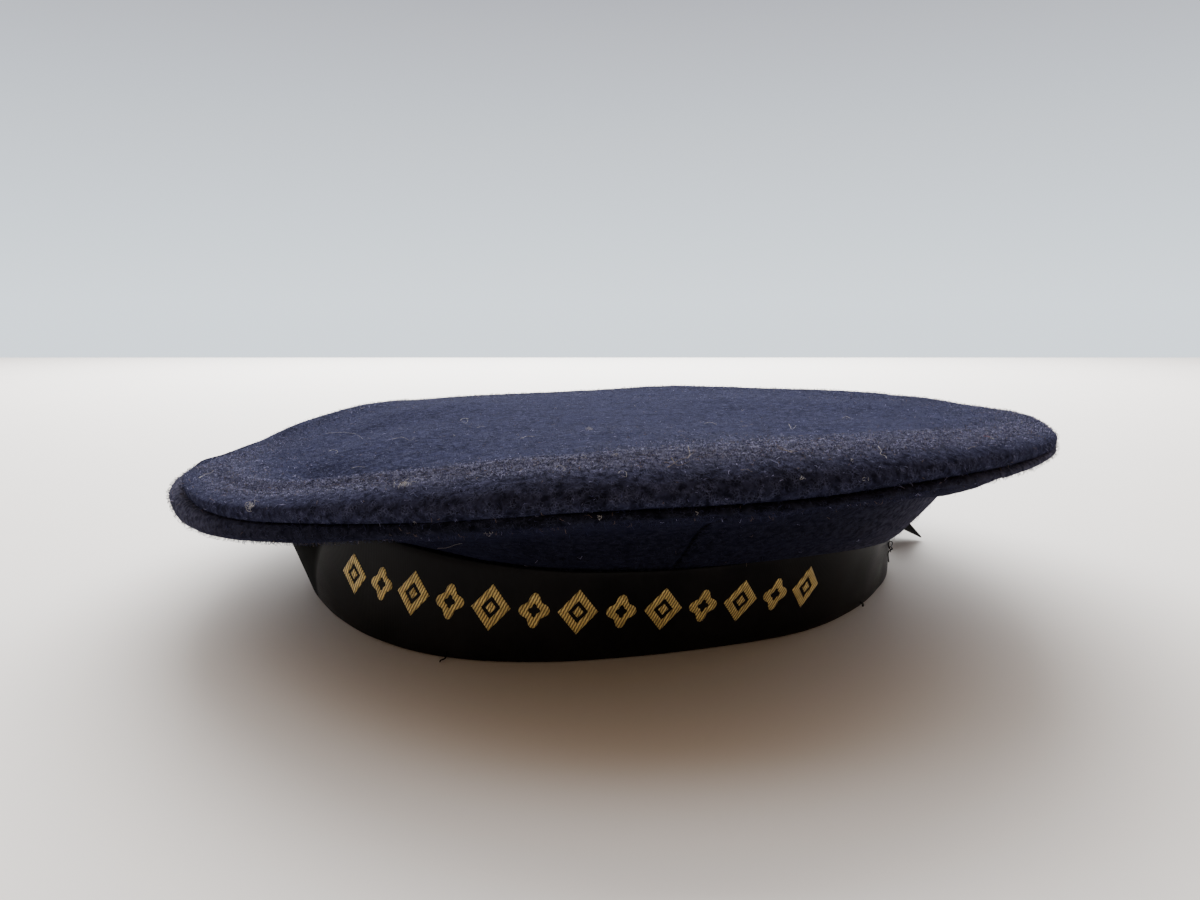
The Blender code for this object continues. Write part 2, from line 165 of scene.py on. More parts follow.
def make_piece(name, points, corners, starts, flat=None, marks=None, weld=False):
    """A smooth piece from its points and its faces' corners, each face starting where listed. The flat
    places in metres are given for each corner, and named marks for each point."""
    mesh = bpy.data.meshes.new(name)
    mesh.vertices.add(points.size // 3)
    mesh.vertices.foreach_set("co", points.astype(np.float32).ravel())
    mesh.loops.add(corners.size)
    mesh.loops.foreach_set("vertex_index", corners.astype(np.int32).ravel())
    mesh.polygons.add(len(starts))
    mesh.polygons.foreach_set("loop_start", starts.astype(np.int32))
    mesh.update(calc_edges=True)
    if flat is not None:
        mesh.uv_layers.new(name="cloth").data.foreach_set("uv", flat.astype(np.float32).ravel())
    for key, values in (marks or {}).items():
        mark = mesh.attributes.new(key, "FLOAT", "POINT")
        mark.data.foreach_set("value", values.astype(np.float32).ravel())
    if weld:
        work = bmesh.new()
        work.from_mesh(mesh)
        bmesh.ops.remove_doubles(work, verts=work.verts, dist=1e-7)
        work.to_mesh(mesh)
        work.free()
    mesh.validate()
    mesh.shade_smooth()
    piece = bpy.data.objects.new(name, mesh)
    bpy.context.scene.collection.objects.link(piece)
    return piece


def grid_faces(rows, columns, round_rows=True, round_columns=True):
    """The four corners of each face of a grid, as rows and as columns. They run one past the last
    where the grid closes on itself."""
    i, j = np.meshgrid(
        np.arange(rows if round_rows else rows - 1),
        np.arange(columns if round_columns else columns - 1),
        indexing="ij",
    )
    row = np.stack([i, i + 1, i + 1, i], axis=-1).reshape(-1, 4)
    column = np.stack([j, j, j + 1, j + 1], axis=-1).reshape(-1, 4)
    return row, column


def lay_grid(name, grid, round_rows=True, round_columns=True, turn_over=False, uv=None, worn=None):
    """A piece from a grid of points, with rows going round the cap and columns along the profile. Points that
    fall together, as at a pole, are welded. The map is two lists of lengths, one for the rows and one for the
    columns; the worn mark is a share from 0 to 1 for each point, used for wear and for painted light and
    shade."""
    rows, columns = grid.shape[:2]
    row, column = grid_faces(rows, columns, round_rows, round_columns)
    if turn_over:
        row = row[:, ::-1]
        column = column[:, ::-1]
    corners = (row % rows) * columns + column % columns
    flat = None if uv is None else np.stack([uv[0][row], uv[1][column]], axis=-1)
    marks = None if worn is None else {"worn": worn}
    return make_piece(name, grid, corners, np.arange(0, corners.size, 4), flat, marks, weld=True)


def node(tree, kind, inputs=None, **settings):
    """Adds a shader node with its settings, and fills its sockets by name with values or links."""
    made = tree.nodes.new(kind)
    for key, value in settings.items():
        setattr(made, key, value)
    for key, value in (inputs or {}).items():
        if isinstance(value, bpy.types.NodeSocket):
            tree.links.new(value, made.inputs[key])
        else:
            made.inputs[key].default_value = value
    return made


def maths(tree, operation, *values, **settings):
    """The outcome of an operation on numbers."""
    return node(tree, "ShaderNodeMath", dict(enumerate(values)), operation=operation, **settings).outputs[0]


def ranged(tree, value, low, high, to_low=0.0, to_high=1.0, **settings):
    """A number moved from one range to another, and held within it."""
    sockets = {"Value": value, "From Min": low, "From Max": high, "To Min": to_low, "To Max": to_high}
    return node(tree, "ShaderNodeMapRange", sockets, **settings).outputs["Result"]


def clouds(tree, place, scale, detail, **more):
    """Cloudy noise over a place, from 0 to 1."""
    sockets = {"Vector": place, "Scale": scale, "Detail": detail, **more}
    return node(tree, "ShaderNodeTexNoise", sockets).outputs["Fac"]


def times(tree, first, second):
    """A colour or a direction times another, or times a number."""
    return node(tree, "ShaderNodeVectorMath", {0: first, 1: second}, operation="MULTIPLY").outputs[0]


def blend(tree, share, first, second):
    """A mix of two colours, whose sockets come after the number and vector ones of the same name."""
    return node(tree, "ShaderNodeMix", {"Factor": share, 6: first, 7: second}, data_type="RGBA").outputs[2]


def raised(tree, height, distance):
    """The normals of a relief whose height of one stands a distance proud."""
    return node(tree, "ShaderNodeBump", {"Height": height, "Distance": distance, "Strength": 1.0}).outputs[0]


def on_piece(tree):
    """The place on the piece itself."""
    return node(tree, "ShaderNodeTexCoord").outputs["Object"]


def marked(tree, name):
    """A value that the piece's points carry."""
    return node(tree, "ShaderNodeAttribute", attribute_name=name).outputs["Fac"]


def new_finish(name, gloss):
    """A new material with its fixed gloss values set on its shader, and its node tree."""
    material = bpy.data.materials.new(name)
    material.use_nodes = True
    for key, value in gloss.items():
        material.node_tree.nodes["Principled BSDF"].inputs[key].default_value = value
    return material, material.node_tree


def feed(material, links):
    """Leads colours and values that change over the surface into a material's shader."""
    tree = material.node_tree
    for key, value in links.items():
        tree.links.new(value, tree.nodes["Principled BSDF"].inputs[key])
    return material


def felt_group():
    """Felted wool as a node group: the slow mottle of the dye, the tangle of fibres that catch the
    light, and the height of the cloth, from noise at three sizes and warped cell edges."""
    group = bpy.data.node_groups.new("felted_wool", "ShaderNodeTree")
    for name, value in (("Fibre Scale", 1500.0), ("Mottle Scale", 130.0)):
        socket = group.interface.new_socket(name, in_out="INPUT", socket_type="NodeSocketFloat")
        socket.default_value = value
    for name in ("Mottle", "Fibre", "Grain", "Height"):
        group.interface.new_socket(name, in_out="OUTPUT", socket_type="NodeSocketFloat")
    entry = node(group, "NodeGroupInput")
    place = on_piece(group)
    warp = node(group, "ShaderNodeTexNoise", {"Vector": place, "Scale": 700.0, "Detail": 2.0})
    shift = times(group, warp.outputs["Color"], (0.0016, 0.0016, 0.0016))
    warped = node(group, "ShaderNodeVectorMath", {0: place, 1: shift}, operation="ADD").outputs[0]
    cell_sockets = {"Vector": warped, "Scale": entry.outputs["Fibre Scale"]}
    cells = node(group, "ShaderNodeTexVoronoi", cell_sockets, feature="DISTANCE_TO_EDGE")
    strand = ranged(group, cells.outputs["Distance"], 0.02, 0.14, 1.0, 0.0)
    patch = ranged(group, clouds(group, place, 520.0, 4.0), 0.42, 0.66)
    fibre = maths(group, "MULTIPLY", strand, patch)
    mottle = clouds(group, place, entry.outputs["Mottle Scale"], 6.0, Roughness=0.65)
    tufts = clouds(group, warped, 780.0, 3.0)
    rough = maths(group, "MULTIPLY_ADD", clouds(group, place, 2600.0, 3.0), 0.35, tufts)
    exits = {
        "Mottle": ranged(group, mottle, 0.34, 0.68),
        "Fibre": fibre,
        "Grain": ranged(group, tufts, 0.36, 0.64),
        "Height": maths(group, "MULTIPLY_ADD", fibre, 0.35, rough),
    }
    node(group, "NodeGroupOutput", exits)
    return group


felted_wool = felt_group()


def wool_cloth(name, deep, mid, fibre_colour, relief):
    """Navy wool cloth: a mottled dye, paler loose fibres over it, a dull nap with a soft sheen."""
    material, tree = new_finish(name, WOOL_GLOSS)
    felt = node(tree, "ShaderNodeGroup", node_tree=felted_wool).outputs
    dye = blend(tree, felt["Mottle"], deep, mid)
    # Points marked worn are painted paler: rubbed wear on the front ridge, painted light on the brow and the
    # side panels' ends
    paler = blend(tree, maths(tree, "MULTIPLY", marked(tree, "worn"), WEAR_AND_LIGHT_SHARE), dye, NAVY_WEAR_AND_PAINTED_LIGHT)
    grained = times(tree, paler, ranged(tree, felt["Grain"], 0.0, 1.0, *GRAIN_RANGE))
    colour = blend(tree, maths(tree, "MULTIPLY", felt["Fibre"], FIBRE_SHARE), grained, fibre_colour)
    return feed(material, {"Base Color": colour, "Normal": raised(tree, felt["Height"], relief)})


crown_wool = wool_cloth("crown_wool", NAVY_DEEP, NAVY_MID, NAVY_FIBRE, 0.45 * MM)
# The side panels' wool is a darker copy of the crown's: painted shade under the overhang
shaded_side_wool = wool_cloth("shaded_side_wool", SIDE_SHADED_DEEP, SIDE_SHADED_MID, SIDE_SHADED_FIBRE, 0.30 * MM)


def settle(piece, material, slot_name, *nodes):
    """Gives a piece its finish, its place on the cap and the solids that it stands for."""
    piece.data.materials.append(material)
    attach(piece, "root")
    if nodes:
        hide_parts(*nodes)


band_azimuth = (np.arange(BAND_STATIONS) * TURN / BAND_STATIONS)[:, None]
band_level, band_inward = strip_outline(band("height", band_azimuth), BAND_WALL, 12, 4)
head_band = lay_grid("wool_head_band", upright(band_azimuth, band_level, band_inward + BAND_INSET))
settle(head_band, crown_wool, "head_band", "head_band")

# Side panels
# Four shaped panels of the same wool join the band to the rim. Each is sewn to its neighbours with
# pressed seams, rolls out under the overhang in soft folds and turns in at the seam with the top panel.
RIM_COLUMNS = ("azimuth", "radius", "ridge", "brow", "seam", "lip", "under")
RIM_ROWS = (
    (-165, 130.0, 42.6, 40.0, 37.0, 34.5, 31.8), (-140, 130.0, 42.7, 39.3, 36.4, 34.0, 31.0),
    (-125, 130.0, 42.6, 38.9, 35.4, 32.9, 29.9), (-113, 130.2, 38.8, 36.8, 34.3, 31.9, 29.1),
    (-102, 130.2, 34.9, 33.8, 33.0, 31.0, 28.2), (-90, 130.2, 34.4, 33.6, 32.9, 30.7, 27.4),
    (-78, 130.8, 36.4, 35.6, 34.9, 31.4, 27.1), (-65, 131.3, 38.2, 36.4, 34.8, 32.0, 26.9),
    (-50, 130.8, 39.2, 37.2, 34.6, 31.6, 28.4), (-40, 130.4, 41.6, 38.4, 35.8, 33.2, 30.8),
    (-30, 130.2, 45.0, 41.0, 38.2, 35.8, 33.6), (-20, 130.0, 48.2, 42.6, 40.5, 38.8, 37.0),
    (-10, 130.0, 51.2, 44.8, 43.2, 41.8, 40.3), (0, 130.0, 53.4, 46.6, 44.9, 43.6, 42.3),
    (15, 130.0, 54.7, 48.1, 46.0, 44.7, 43.3), (30, 130.2, 54.4, 49.3, 47.4, 46.2, 44.9),
    (45, 130.0, 52.9, 49.4, 47.3, 46.1, 44.7), (60, 130.0, 51.0, 48.8, 46.5, 45.5, 44.4),
    (75, 130.6, 50.4, 46.6, 44.9, 43.7, 42.3), (90, 131.0, 49.2, 45.2, 43.2, 42.1, 40.8),
    (115, 130.4, 48.2, 44.5, 41.5, 39.9, 38.0), (140, 130.0, 47.0, 43.5, 40.3, 38.0, 35.4),
    (165, 130.0, 45.8, 42.4, 39.0, 36.6, 34.0),
)
SIDE_NAMES = ("quarter_front_right", "quarter_back_right", "quarter_back_left", "quarter_front_left")
SEAM_START = 10.0
SEAM_TURN = 90.0
SIDE_WALL = 0.9 * MM
SEAM_GAP = 0.12 * MM
ALLOWANCE = 7.0 * MM
SIDE_SEAM_INSET = 1.1 * MM
UNDER_INSET = 4.2 * MM
NECK_RISE = 0.15
PANEL_STATIONS = 84
SEAM_CLEARANCE = math.degrees(0.05 * MM / 0.1)
SEAM_RADIUS = 110.0 * MM
DIP_DEPTH = 0.4 * MM
DIP_WIDTH = 1.2 * MM
PUCKER_HEIGHT = 0.35 * MM
PUCKER_PITCH = 0.9 * MM
PUCKER_REACH = 3.0 * MM
ALLOWANCE_STEPS = 4
LIP_STEPS = 7
ROLL_STEPS = 8
PANEL_STEPS = 34
# Where the rim changes over a stretch: how far at most, the azimuth there, and the stretch's spread
ROLLED_IN = (4.2 * MM, -74.0, 23.0)
LIP_OUT = (1.0 * MM, 30.0, 19.0)
ALLOWANCE_FALL = (3.0 * MM, -88.0, 26.0)
SEAM_SHUT = ((0.95, 82.0, 30.0), (0.85, -84.0, 18.0))
# Painted light on the side panels: paler stretches at the left tip's roll and on the right side, where light
# catches them; each row gives how pale, the azimuth and the spread
SIDE_PAINTED_LIGHT = ((0.95, -67.0, 20.0), (1.05, 62.0, 22.0))
# The lower edge's turn-up: its levels as shares of the droop, or in mm if negative, and its way in
TUCK_LEVELS = np.array([[-0.25, -0.35, -0.2, 0.15, 0.5, 0.8, 1.0, 1.0, 1.0]])
TUCK_INWARD = np.array([[0.35, 0.8, 1.25, 1.3, 1.3, 1.3, 1.5, 3.0, 4.6]]) * MM
TUCK_STEPS = 9
TUCK_UPRIGHT = 6
FOLD_ROWS = (
    (43.0, 20.0, 0.82, -0.0040, 0.070, 2.0), (50.0, 24.0, 0.55, -0.0045, 0.100, -3.2),
    (40.0, 17.0, 0.27, -0.0030, 0.130, 4.2), (68.0, 13.0, 0.24, 0.0, 0.170, -3.6),
    (-28.0, 24.0, 0.55, 0.0035, 0.110, 0.5), (-100.0, 34.0, 0.55, 0.0030, 0.12, 1.4),
    (160.0, 40.0, 0.50, 0.0020, 0.12, 1.2), (-150.0, 30.0, 0.66, -0.0040, 0.08, 0.8),
    (118.0, 26.0, 0.60, 0.0040, 0.09, 0.9),
)


def rim(name, azimuth):
    """A length of the crown's edge at an azimuth."""
    return read_round(RIM_COLUMNS, RIM_ROWS, name, azimuth)


def bell(distance, width):
    """A smooth bump of height one: the exponential of minus the square of distance over width."""
    return np.exp(-(distance / width) ** 2)


def turned(azimuth, middle):
    """The signed angle from a middle azimuth."""
    return (azimuth - middle + TURN / 2) % TURN - TURN / 2


def swell(azimuth, height, middle, width):
    """A stretch of the rim: its height at the middle azimuth, falling to both sides on a bell."""
    return height * bell(turned(azimuth, middle), width)


def folds(azimuth, share):
    """How far soft folds push the side panels out: a bell along the rim times a bell across it, whose
    place across drifts along the rim."""
    total = 0.0
    for middle, spread, place, drift, width, height in FOLD_ROWS:
        line = place + drift * turned(azimuth, middle)
        total = total + swell(azimuth, height * MM, middle, spread) * bell(share - line, width)
    return total


def seam_open(azimuth):
    """How far the rim seam opens as a groove: fully along the front, hardly at the cap's two ends."""
    return 1 - sum(swell(azimuth, *row) for row in SEAM_SHUT)


def quarter(steps):
    """Angles from zero to a quarter turn in even steps."""
    return np.linspace(0.0, math.pi / 2, steps + 1)[None, :]


def side_face(azimuth):
    """The outer face of a side panel: in from the allowance, round the lip on a quarter ellipse, back
    under the rim on another, down a straight slope that swells in the middle, and in over the band."""
    azimuth = azimuth[:, None]
    edge = rim("radius", azimuth) + swell(azimuth, *LIP_OUT)
    seam = rim("seam", azimuth) - SEAM_GAP
    lip = rim("lip", azimuth)
    under = rim("under", azimuth)
    groove = rim("radius", azimuth) - SIDE_SEAM_INSET * seam_open(azimuth) - swell(azimuth, *ROLLED_IN)
    back = np.linspace(1.0, 0.0, ALLOWANCE_STEPS + 1)[:-1][None, :]
    allowance = stand(azimuth, groove - ALLOWANCE * back, seam - swell(azimuth, *ALLOWANCE_FALL) * back)
    swing = quarter(LIP_STEPS)[:, :-1]
    out = stand(azimuth, groove + (edge - groove) * np.sin(swing), lip + (seam - lip) * np.cos(swing))
    swing = quarter(ROLL_STEPS)[:, :-1]
    roll = stand(azimuth, edge - UNDER_INSET * (1 - np.cos(swing)), lip + (under - lip) * np.sin(swing))
    inward = np.linspace(1.0, 0.0, PANEL_STEPS + 1)[None, :]
    neck = band("neck", azimuth)
    neck_height = band("neck_height", azimuth)
    outer = stand(azimuth, edge - UNDER_INSET, under)
    inner = stand(azimuth, neck, neck_height, BAND_CENTRE)
    panel = inner + (outer - inner) * inward[..., None]
    rise = inward + NECK_RISE * np.sin(math.pi * inward) ** 2
    panel[..., 2] = inner[..., 2] + (outer[..., 2] - inner[..., 2]) * rise
    panel[..., 2] -= folds(azimuth, inward) * np.sin(math.pi * inward)
    # The lower edge turns up behind itself where it hangs over the ribbon, and in over the band
    height = band("height", azimuth)
    droop = np.clip(height - neck_height, 0.0, None)
    climb = np.where(TUCK_LEVELS < 0, TUCK_LEVELS * MM, TUCK_LEVELS * (droop + 0.35 * MM))
    level = neck_height + climb
    face = band("foot", azimuth) + (band("top", azimuth) - band("foot", azimuth)) * level / height
    reach = neck - TUCK_INWARD
    clear = np.where(droop > MM, np.maximum(reach, face + 0.25 * MM), reach)
    radius = np.where(np.arange(TUCK_STEPS)[None, :] >= TUCK_UPRIGHT, reach, clear)
    tuck = stand(azimuth, radius, level, BAND_CENTRE)
    return np.concatenate([allowance, out, roll, panel, tuck], axis=1)


def profile_normals(grid):
    """Directions square to each profile, away from the cloth: the profile's own slope, turned."""
    radius = np.hypot(grid[..., 0], grid[..., 1])
    run = np.gradient(radius, axis=1)
    drop = np.gradient(grid[..., 2], axis=1)
    length = np.maximum(np.hypot(run, drop), 1e-9)
    outward = grid[..., :2] / np.maximum(radius, 1e-9)[..., None]
    return np.concatenate([outward * (-drop / length)[..., None], (run / length)[..., None]], axis=-1)


def cloth_relief(grid):
    """The uneven surface of worn wool: slow waves, tufts and small lumps, from noise at three sizes."""
    waves = soft_noise(grid, 24 * MM, 11) * 0.45
    lumps = soft_noise(grid, 8 * MM, 12) * 0.16
    tufts = soft_noise(grid, 2.6 * MM, 13) * 0.09
    return (waves + lumps + tufts) * MM


def shut_ends(grid, columns):
    """Adds a row at each end where the outer face meets the inner one half way, which closes the cloth."""
    ends = []
    for row in (grid[:1], grid[-1:]):
        middle = (row[:, :columns] + row[:, columns:][:, ::-1]) / 2
        ends.append(np.concatenate([middle, middle[:, ::-1]], axis=1))
    return np.concatenate([ends[0], grid, ends[1]], axis=0)


def side_panel(name, first):
    """One side panel from seam to seam. Its ends dip into the seams on a short bell, beside a row of
    small puckers."""
    share = np.linspace(0.0, 1.0, PANEL_STATIONS + 1)
    share = share - 0.04 * np.sin(2 * math.pi * share)
    azimuth = first + SEAM_CLEARANCE + share * (SEAM_TURN - 2 * SEAM_CLEARANCE)
    outer = side_face(azimuth)
    normals = profile_normals(outer)
    run = np.minimum(azimuth - azimuth[0], azimuth[-1] - azimuth)[:, None] * math.radians(SEAM_RADIUS)
    fade = np.ones(outer.shape[1])
    fade[:ALLOWANCE_STEPS] = 0.0
    fade[-TUCK_STEPS:] = 0.0
    dip = DIP_DEPTH * bell(run, DIP_WIDTH) * fade
    pucker = PUCKER_HEIGHT * np.sin(run / PUCKER_PITCH) * bell(run - PUCKER_REACH, PUCKER_REACH) * fade
    outer = outer + normals * (cloth_relief(outer) * fade - dip + pucker)[..., None]
    wall = SIDE_WALL * np.ones(outer.shape[1])
    wall[:2] = 0.5 * SIDE_WALL
    wall[-TUCK_STEPS:] = np.linspace(0.5, 0.3, TUCK_STEPS) * SIDE_WALL
    inner = outer - normals * wall[None, :, None]
    grid = shut_ends(np.concatenate([outer, inner[:, ::-1]], axis=1), outer.shape[1])
    ends = np.concatenate([azimuth[:1], azimuth, azimuth[-1:]])
    # Painted light: the side panels are marked paler at the cap's two ends, where light catches them
    worn = np.broadcast_to(sum(swell(ends, *row) for row in SIDE_PAINTED_LIGHT)[:, None], grid.shape[:2])
    return lay_grid(name, grid, round_rows=False, turn_over=True, worn=worn), outer, normals


side_grids = []
for index, node_name in enumerate(SIDE_NAMES):
    panel, panel_grid, panel_normals = side_panel("wool_" + node_name, SEAM_START + index * SEAM_TURN)
    settle(panel, shaded_side_wool, node_name, node_name)
    side_grids.append((panel_grid, panel_normals))

# Top panel
# A disc of the same wool, slumped and dished by wear. A soft crease runs along its front edge, where
# the cloth turns down to the rim seam, and its edge rolls under and is sewn to the side panels.
TOP_WALL = 1.2 * MM
TOP_CENTRE = 46.5 * MM
TOP_CURVE = 2.6
FRONT_CURVE = 1.6
FRONT_SPREAD = 50.0
WORN_PLACE = 4.0 * MM
WORN_BEHIND = 8.0 * MM
WORN_BELOW = 6.0 * MM
RIDGE_INSET = 12.0 * MM
FRONT_SHOULDER = 4.5 * MM
END_SHOULDER = (5.5 * MM, 88.0, 24.0)
SEAM_INSET = 1.1 * MM
TROUGH = (1.8 * MM, -40.0, 32.0)
TROUGH_PLACE = 0.74
TROUGH_WIDTH = 0.17
TOP_STATIONS = 380
TOP_RINGS = 60
BROW_STEPS = 22
EDGE_STEPS = 8
INSIDE_STEPS = 18
DENT_ROWS = (
    (-70.0, 30.0, 52.0, 20.0, 35.0, 1.8),
    (-88.0, -18.0, 34.0, 12.0, 60.0, -1.6),
    (-20.0, 55.0, 60.0, 26.0, 10.0, -1.2),
    (62.0, 40.0, 46.0, 24.0, -30.0, 1.2),
    (58.0, -50.0, 44.0, 16.0, 38.0, -1.0),
)
CREASE_ROWS = (
    ((1.3 * MM, -44.0, 34.0), 0.5 * MM, 2.6 * MM),
    ((-4.2 * MM, -42.0, 30.0), -16.0 * MM, 9.0 * MM),
    ((-0.30 * MM, -25.0, 45.0), 6.0 * MM, 3.0 * MM),
)


def dents(x, y):
    """The slumped panel's humps and hollows: a bell along and a bell across each, turned in place."""
    total = 0.0
    for middle_x, middle_y, long, short, turn, height in DENT_ROWS:
        c = math.cos(math.radians(turn))
        s = math.sin(math.radians(turn))
        aside = x / MM - middle_x
        behind = y / MM - middle_y
        total = total + height * MM * bell(aside * c + behind * s, long) * bell(behind * c - aside * s, short)
    return total


def top_face(azimuth):
    """The panel's outer face. Its height goes from the middle's to the ridge's as a power of the way
    out, less a trough behind the ridge; a quarter ellipse then falls to the brow, a second tucks in to
    the rim seam, and the allowance runs back inside."""
    azimuth = azimuth[:, None]
    edge = rim("radius", azimuth) - swell(azimuth, *ROLLED_IN)
    ridge = rim("ridge", azimuth)
    brow = rim("brow", azimuth)
    seam = rim("seam", azimuth) + SEAM_GAP
    ahead = swell(azimuth, 1.0, 0.0, FRONT_SPREAD)
    inset = RIDGE_INSET + FRONT_SHOULDER * ahead - swell(azimuth, *END_SHOULDER)
    share = np.linspace(0.0, 1.0, TOP_RINGS + 1)[None, :] ** 0.85
    height = TOP_CENTRE + (ridge - TOP_CENTRE) * share ** (TOP_CURVE + (FRONT_CURVE - TOP_CURVE) * ahead)
    height = height - swell(azimuth, *TROUGH) * bell(share - TROUGH_PLACE, TROUGH_WIDTH)
    top = stand(azimuth, (edge - inset) * share, height)
    top[..., 2] += dents(top[..., 0], top[..., 1]) * (1 - share ** 6)
    swing = quarter(BROW_STEPS)[:, 1:]
    shoulder = stand(azimuth, edge - inset * (1 - np.sin(swing)), brow + (ridge - brow) * np.cos(swing))
    swing = quarter(EDGE_STEPS)[:, 1:]
    tuck = SEAM_INSET * seam_open(azimuth)
    fall = stand(azimuth, edge - tuck * (1 - np.cos(swing)), brow + (seam - brow) * np.sin(swing))
    back = np.linspace(0.0, 1.0, ALLOWANCE_STEPS + 1)[1:][None, :]
    allowance_level = seam - swell(azimuth, *ALLOWANCE_FALL) * back
    allowance = stand(azimuth, edge - tuck - ALLOWANCE * back, allowance_level)
    return np.concatenate([top, shoulder, fall, allowance], axis=1)


def crease_relief(azimuth, run):
    """A soft crease along the front edge with a worn hollow behind it and a slight one below: bells
    over the way out from the ridge, fading to both sides along the rim."""
    return sum(swell(azimuth, *stretch) * bell(run - place, width) for stretch, place, width in CREASE_ROWS)


def wear_and_painted_light_share(azimuth, run):
    """How far the wool is painted paler, from 0 to 1, over the front ridge and the upper brow below it:
    partly the nap rubbed pale, partly painted light where the backlit nap catches the light.
    """
    over = bell(run - WORN_PLACE, np.where(run < WORN_PLACE, WORN_BEHIND, WORN_BELOW))
    over = np.maximum(1.3 * over, 0.25 * bell(run - 9.0 * MM, 8.0 * MM))
    return over * swell(azimuth, 1.0, 0.0, 60.0)


def unit(vectors):
    """Directions: vectors over their own lengths."""
    return vectors / np.maximum(np.linalg.norm(vectors, axis=-1, keepdims=True), 1e-12)


top_azimuth = (SEAM_START + np.arange(TOP_STATIONS) * TURN / TOP_STATIONS)[:, None]
top_grid = top_face(top_azimuth[:, 0])
around = np.roll(top_grid, -1, axis=0) - np.roll(top_grid, 1, axis=0)
top_normals = unit(np.cross(np.gradient(top_grid, axis=1), around))
top_fade = np.ones(top_grid.shape[1])
top_fade[:6] = np.linspace(0.0, 1.0, 6)
top_fade[-ALLOWANCE_STEPS - 2:] = 0.0
top_run = np.cumsum(np.linalg.norm(np.diff(top_grid, axis=1, prepend=top_grid[:, :1]), axis=-1), axis=1)
top_run = top_run - top_run[:, TOP_RINGS:TOP_RINGS + 1]
crease = crease_relief(top_azimuth, top_run)
top_grid = top_grid + top_normals * ((cloth_relief(top_grid) + crease) * top_fade)[..., None]
# The inner face is the outer one at fewer rings, one cloth thickness down
top_last = top_grid.shape[1] - 1 - ALLOWANCE_STEPS
top_pick = np.unique(np.round(np.linspace(0, top_last, INSIDE_STEPS)).astype(int))
top_inside = top_grid[:, top_pick] - top_normals[:, top_pick] * TOP_WALL
top_inside[:, 0] = top_inside[:, 1].mean(axis=0)
top_shell = np.concatenate([top_grid, top_inside[:, ::-1]], axis=1)
# The worn mark on the top panel: rubbed wear on the ridge, painted light down the brow
top_wear_and_light = np.concatenate([wear_and_painted_light_share(top_azimuth, top_run), np.zeros(top_inside.shape[:2])], axis=1)
crown_top = lay_grid("wool_crown_top", top_shell, round_columns=False, turn_over=True, worn=top_wear_and_light)
settle(crown_top, crown_wool, "crown_top", "crown_top")

# Cap ribbon
# A black silk ribbon with fine cross ribs and a firm woven edge, drawn once round the band and tied in
# a bow. It takes the band's lean and shows soft ripples where it is not stretched quite flat.
RIBBON_WALL = 0.5 * MM
RIBBON_LIFT = 0.3 * MM
RIBBON_WIDTH = 24.0 * MM
RIBBON_STATIONS = 360
RIB_PITCH = 0.55 * MM
RIBBON_BLACK = (0.0062, 0.0064, 0.0076, 1.0)
RIBBON_WORN = (0.0112, 0.0110, 0.0120, 1.0)
# Painted shade: the near-black of a dark strip near the ribbon's left end
RIBBON_PAINTED_SHADE = (0.0020, 0.0020, 0.0020, 1.0)
SILK_GLOSS = {"Specular IOR Level": 0.05}


def ribbon_face(azimuth, level):
    """How far the ribbon's face stands off the band's even wall: slow ripples that run up it."""
    spot = stand(azimuth, 95.0 * MM, level * 0.35, BAND_CENTRE)
    return (soft_noise(spot, 17 * MM, 21) * 0.22 + soft_noise(spot, 7 * MM, 22) * 0.06) * MM


def painted_shade_strip(azimuth, level):
    """Where the ribbon is painted darker and duller as painted shade, from 0 to 1: a slanting strip near the
    left end with a sharp front edge, fading out behind."""
    front = np.clip((-60.0 + 13.3 * level / RIBBON_WIDTH - turned(azimuth, 0.0)) / 1.5, 0.0, 1.0)
    return front * bell(np.minimum(turned(azimuth, -80.0), 0.0), 14.0)


def ridges(tree, lengths, pitch, distortion, direction):
    """Fine even ridges over lengths of cloth, one pitch apart. The wave texture has 20 over two pi of
    them to each unit of its scale."""
    scale = 2 * math.pi / pitch / 20
    sockets = {"Vector": lengths, "Scale": scale, "Distortion": distortion, "Detail": 1.0}
    wave = node(tree, "ShaderNodeTexWave", sockets, wave_type="BANDS", bands_direction=direction)
    return wave.outputs["Fac"]


def silk(name, dullest):
    """Black ribbed silk: fine ribs across the ribbon in relief, a soft gloss that varies with wear, and
    painted shade: darker, duller strips where the points carry the worn mark."""
    material, tree = new_finish(name, SILK_GLOSS)
    lengths = node(tree, "ShaderNodeUVMap", uv_map="cloth").outputs["UV"]
    ribs = ridges(tree, lengths, RIB_PITCH, 0.25, "X")
    place = on_piece(tree)
    slub = clouds(tree, place, 95.0, 5.0)
    relief = maths(tree, "MULTIPLY_ADD", clouds(tree, place, 2400.0, 2.0), 0.6, ribs)
    colour = blend(tree, ranged(tree, slub, 0.35, 0.7), RIBBON_BLACK, RIBBON_WORN)
    gloss = ranged(tree, slub, 0.3, 0.7, dullest - 0.12, dullest)
    # Painted shade: where marked, the colour goes darker and the gloss duller
    shade_strip = marked(tree, "worn")
    links = {
        "Base Color": blend(tree, shade_strip, colour, RIBBON_PAINTED_SHADE),
        "Roughness": maths(tree, "MULTIPLY_ADD", shade_strip, 0.6, gloss),
        "Normal": raised(tree, relief, 0.018 * MM),
    }
    return feed(material, links)


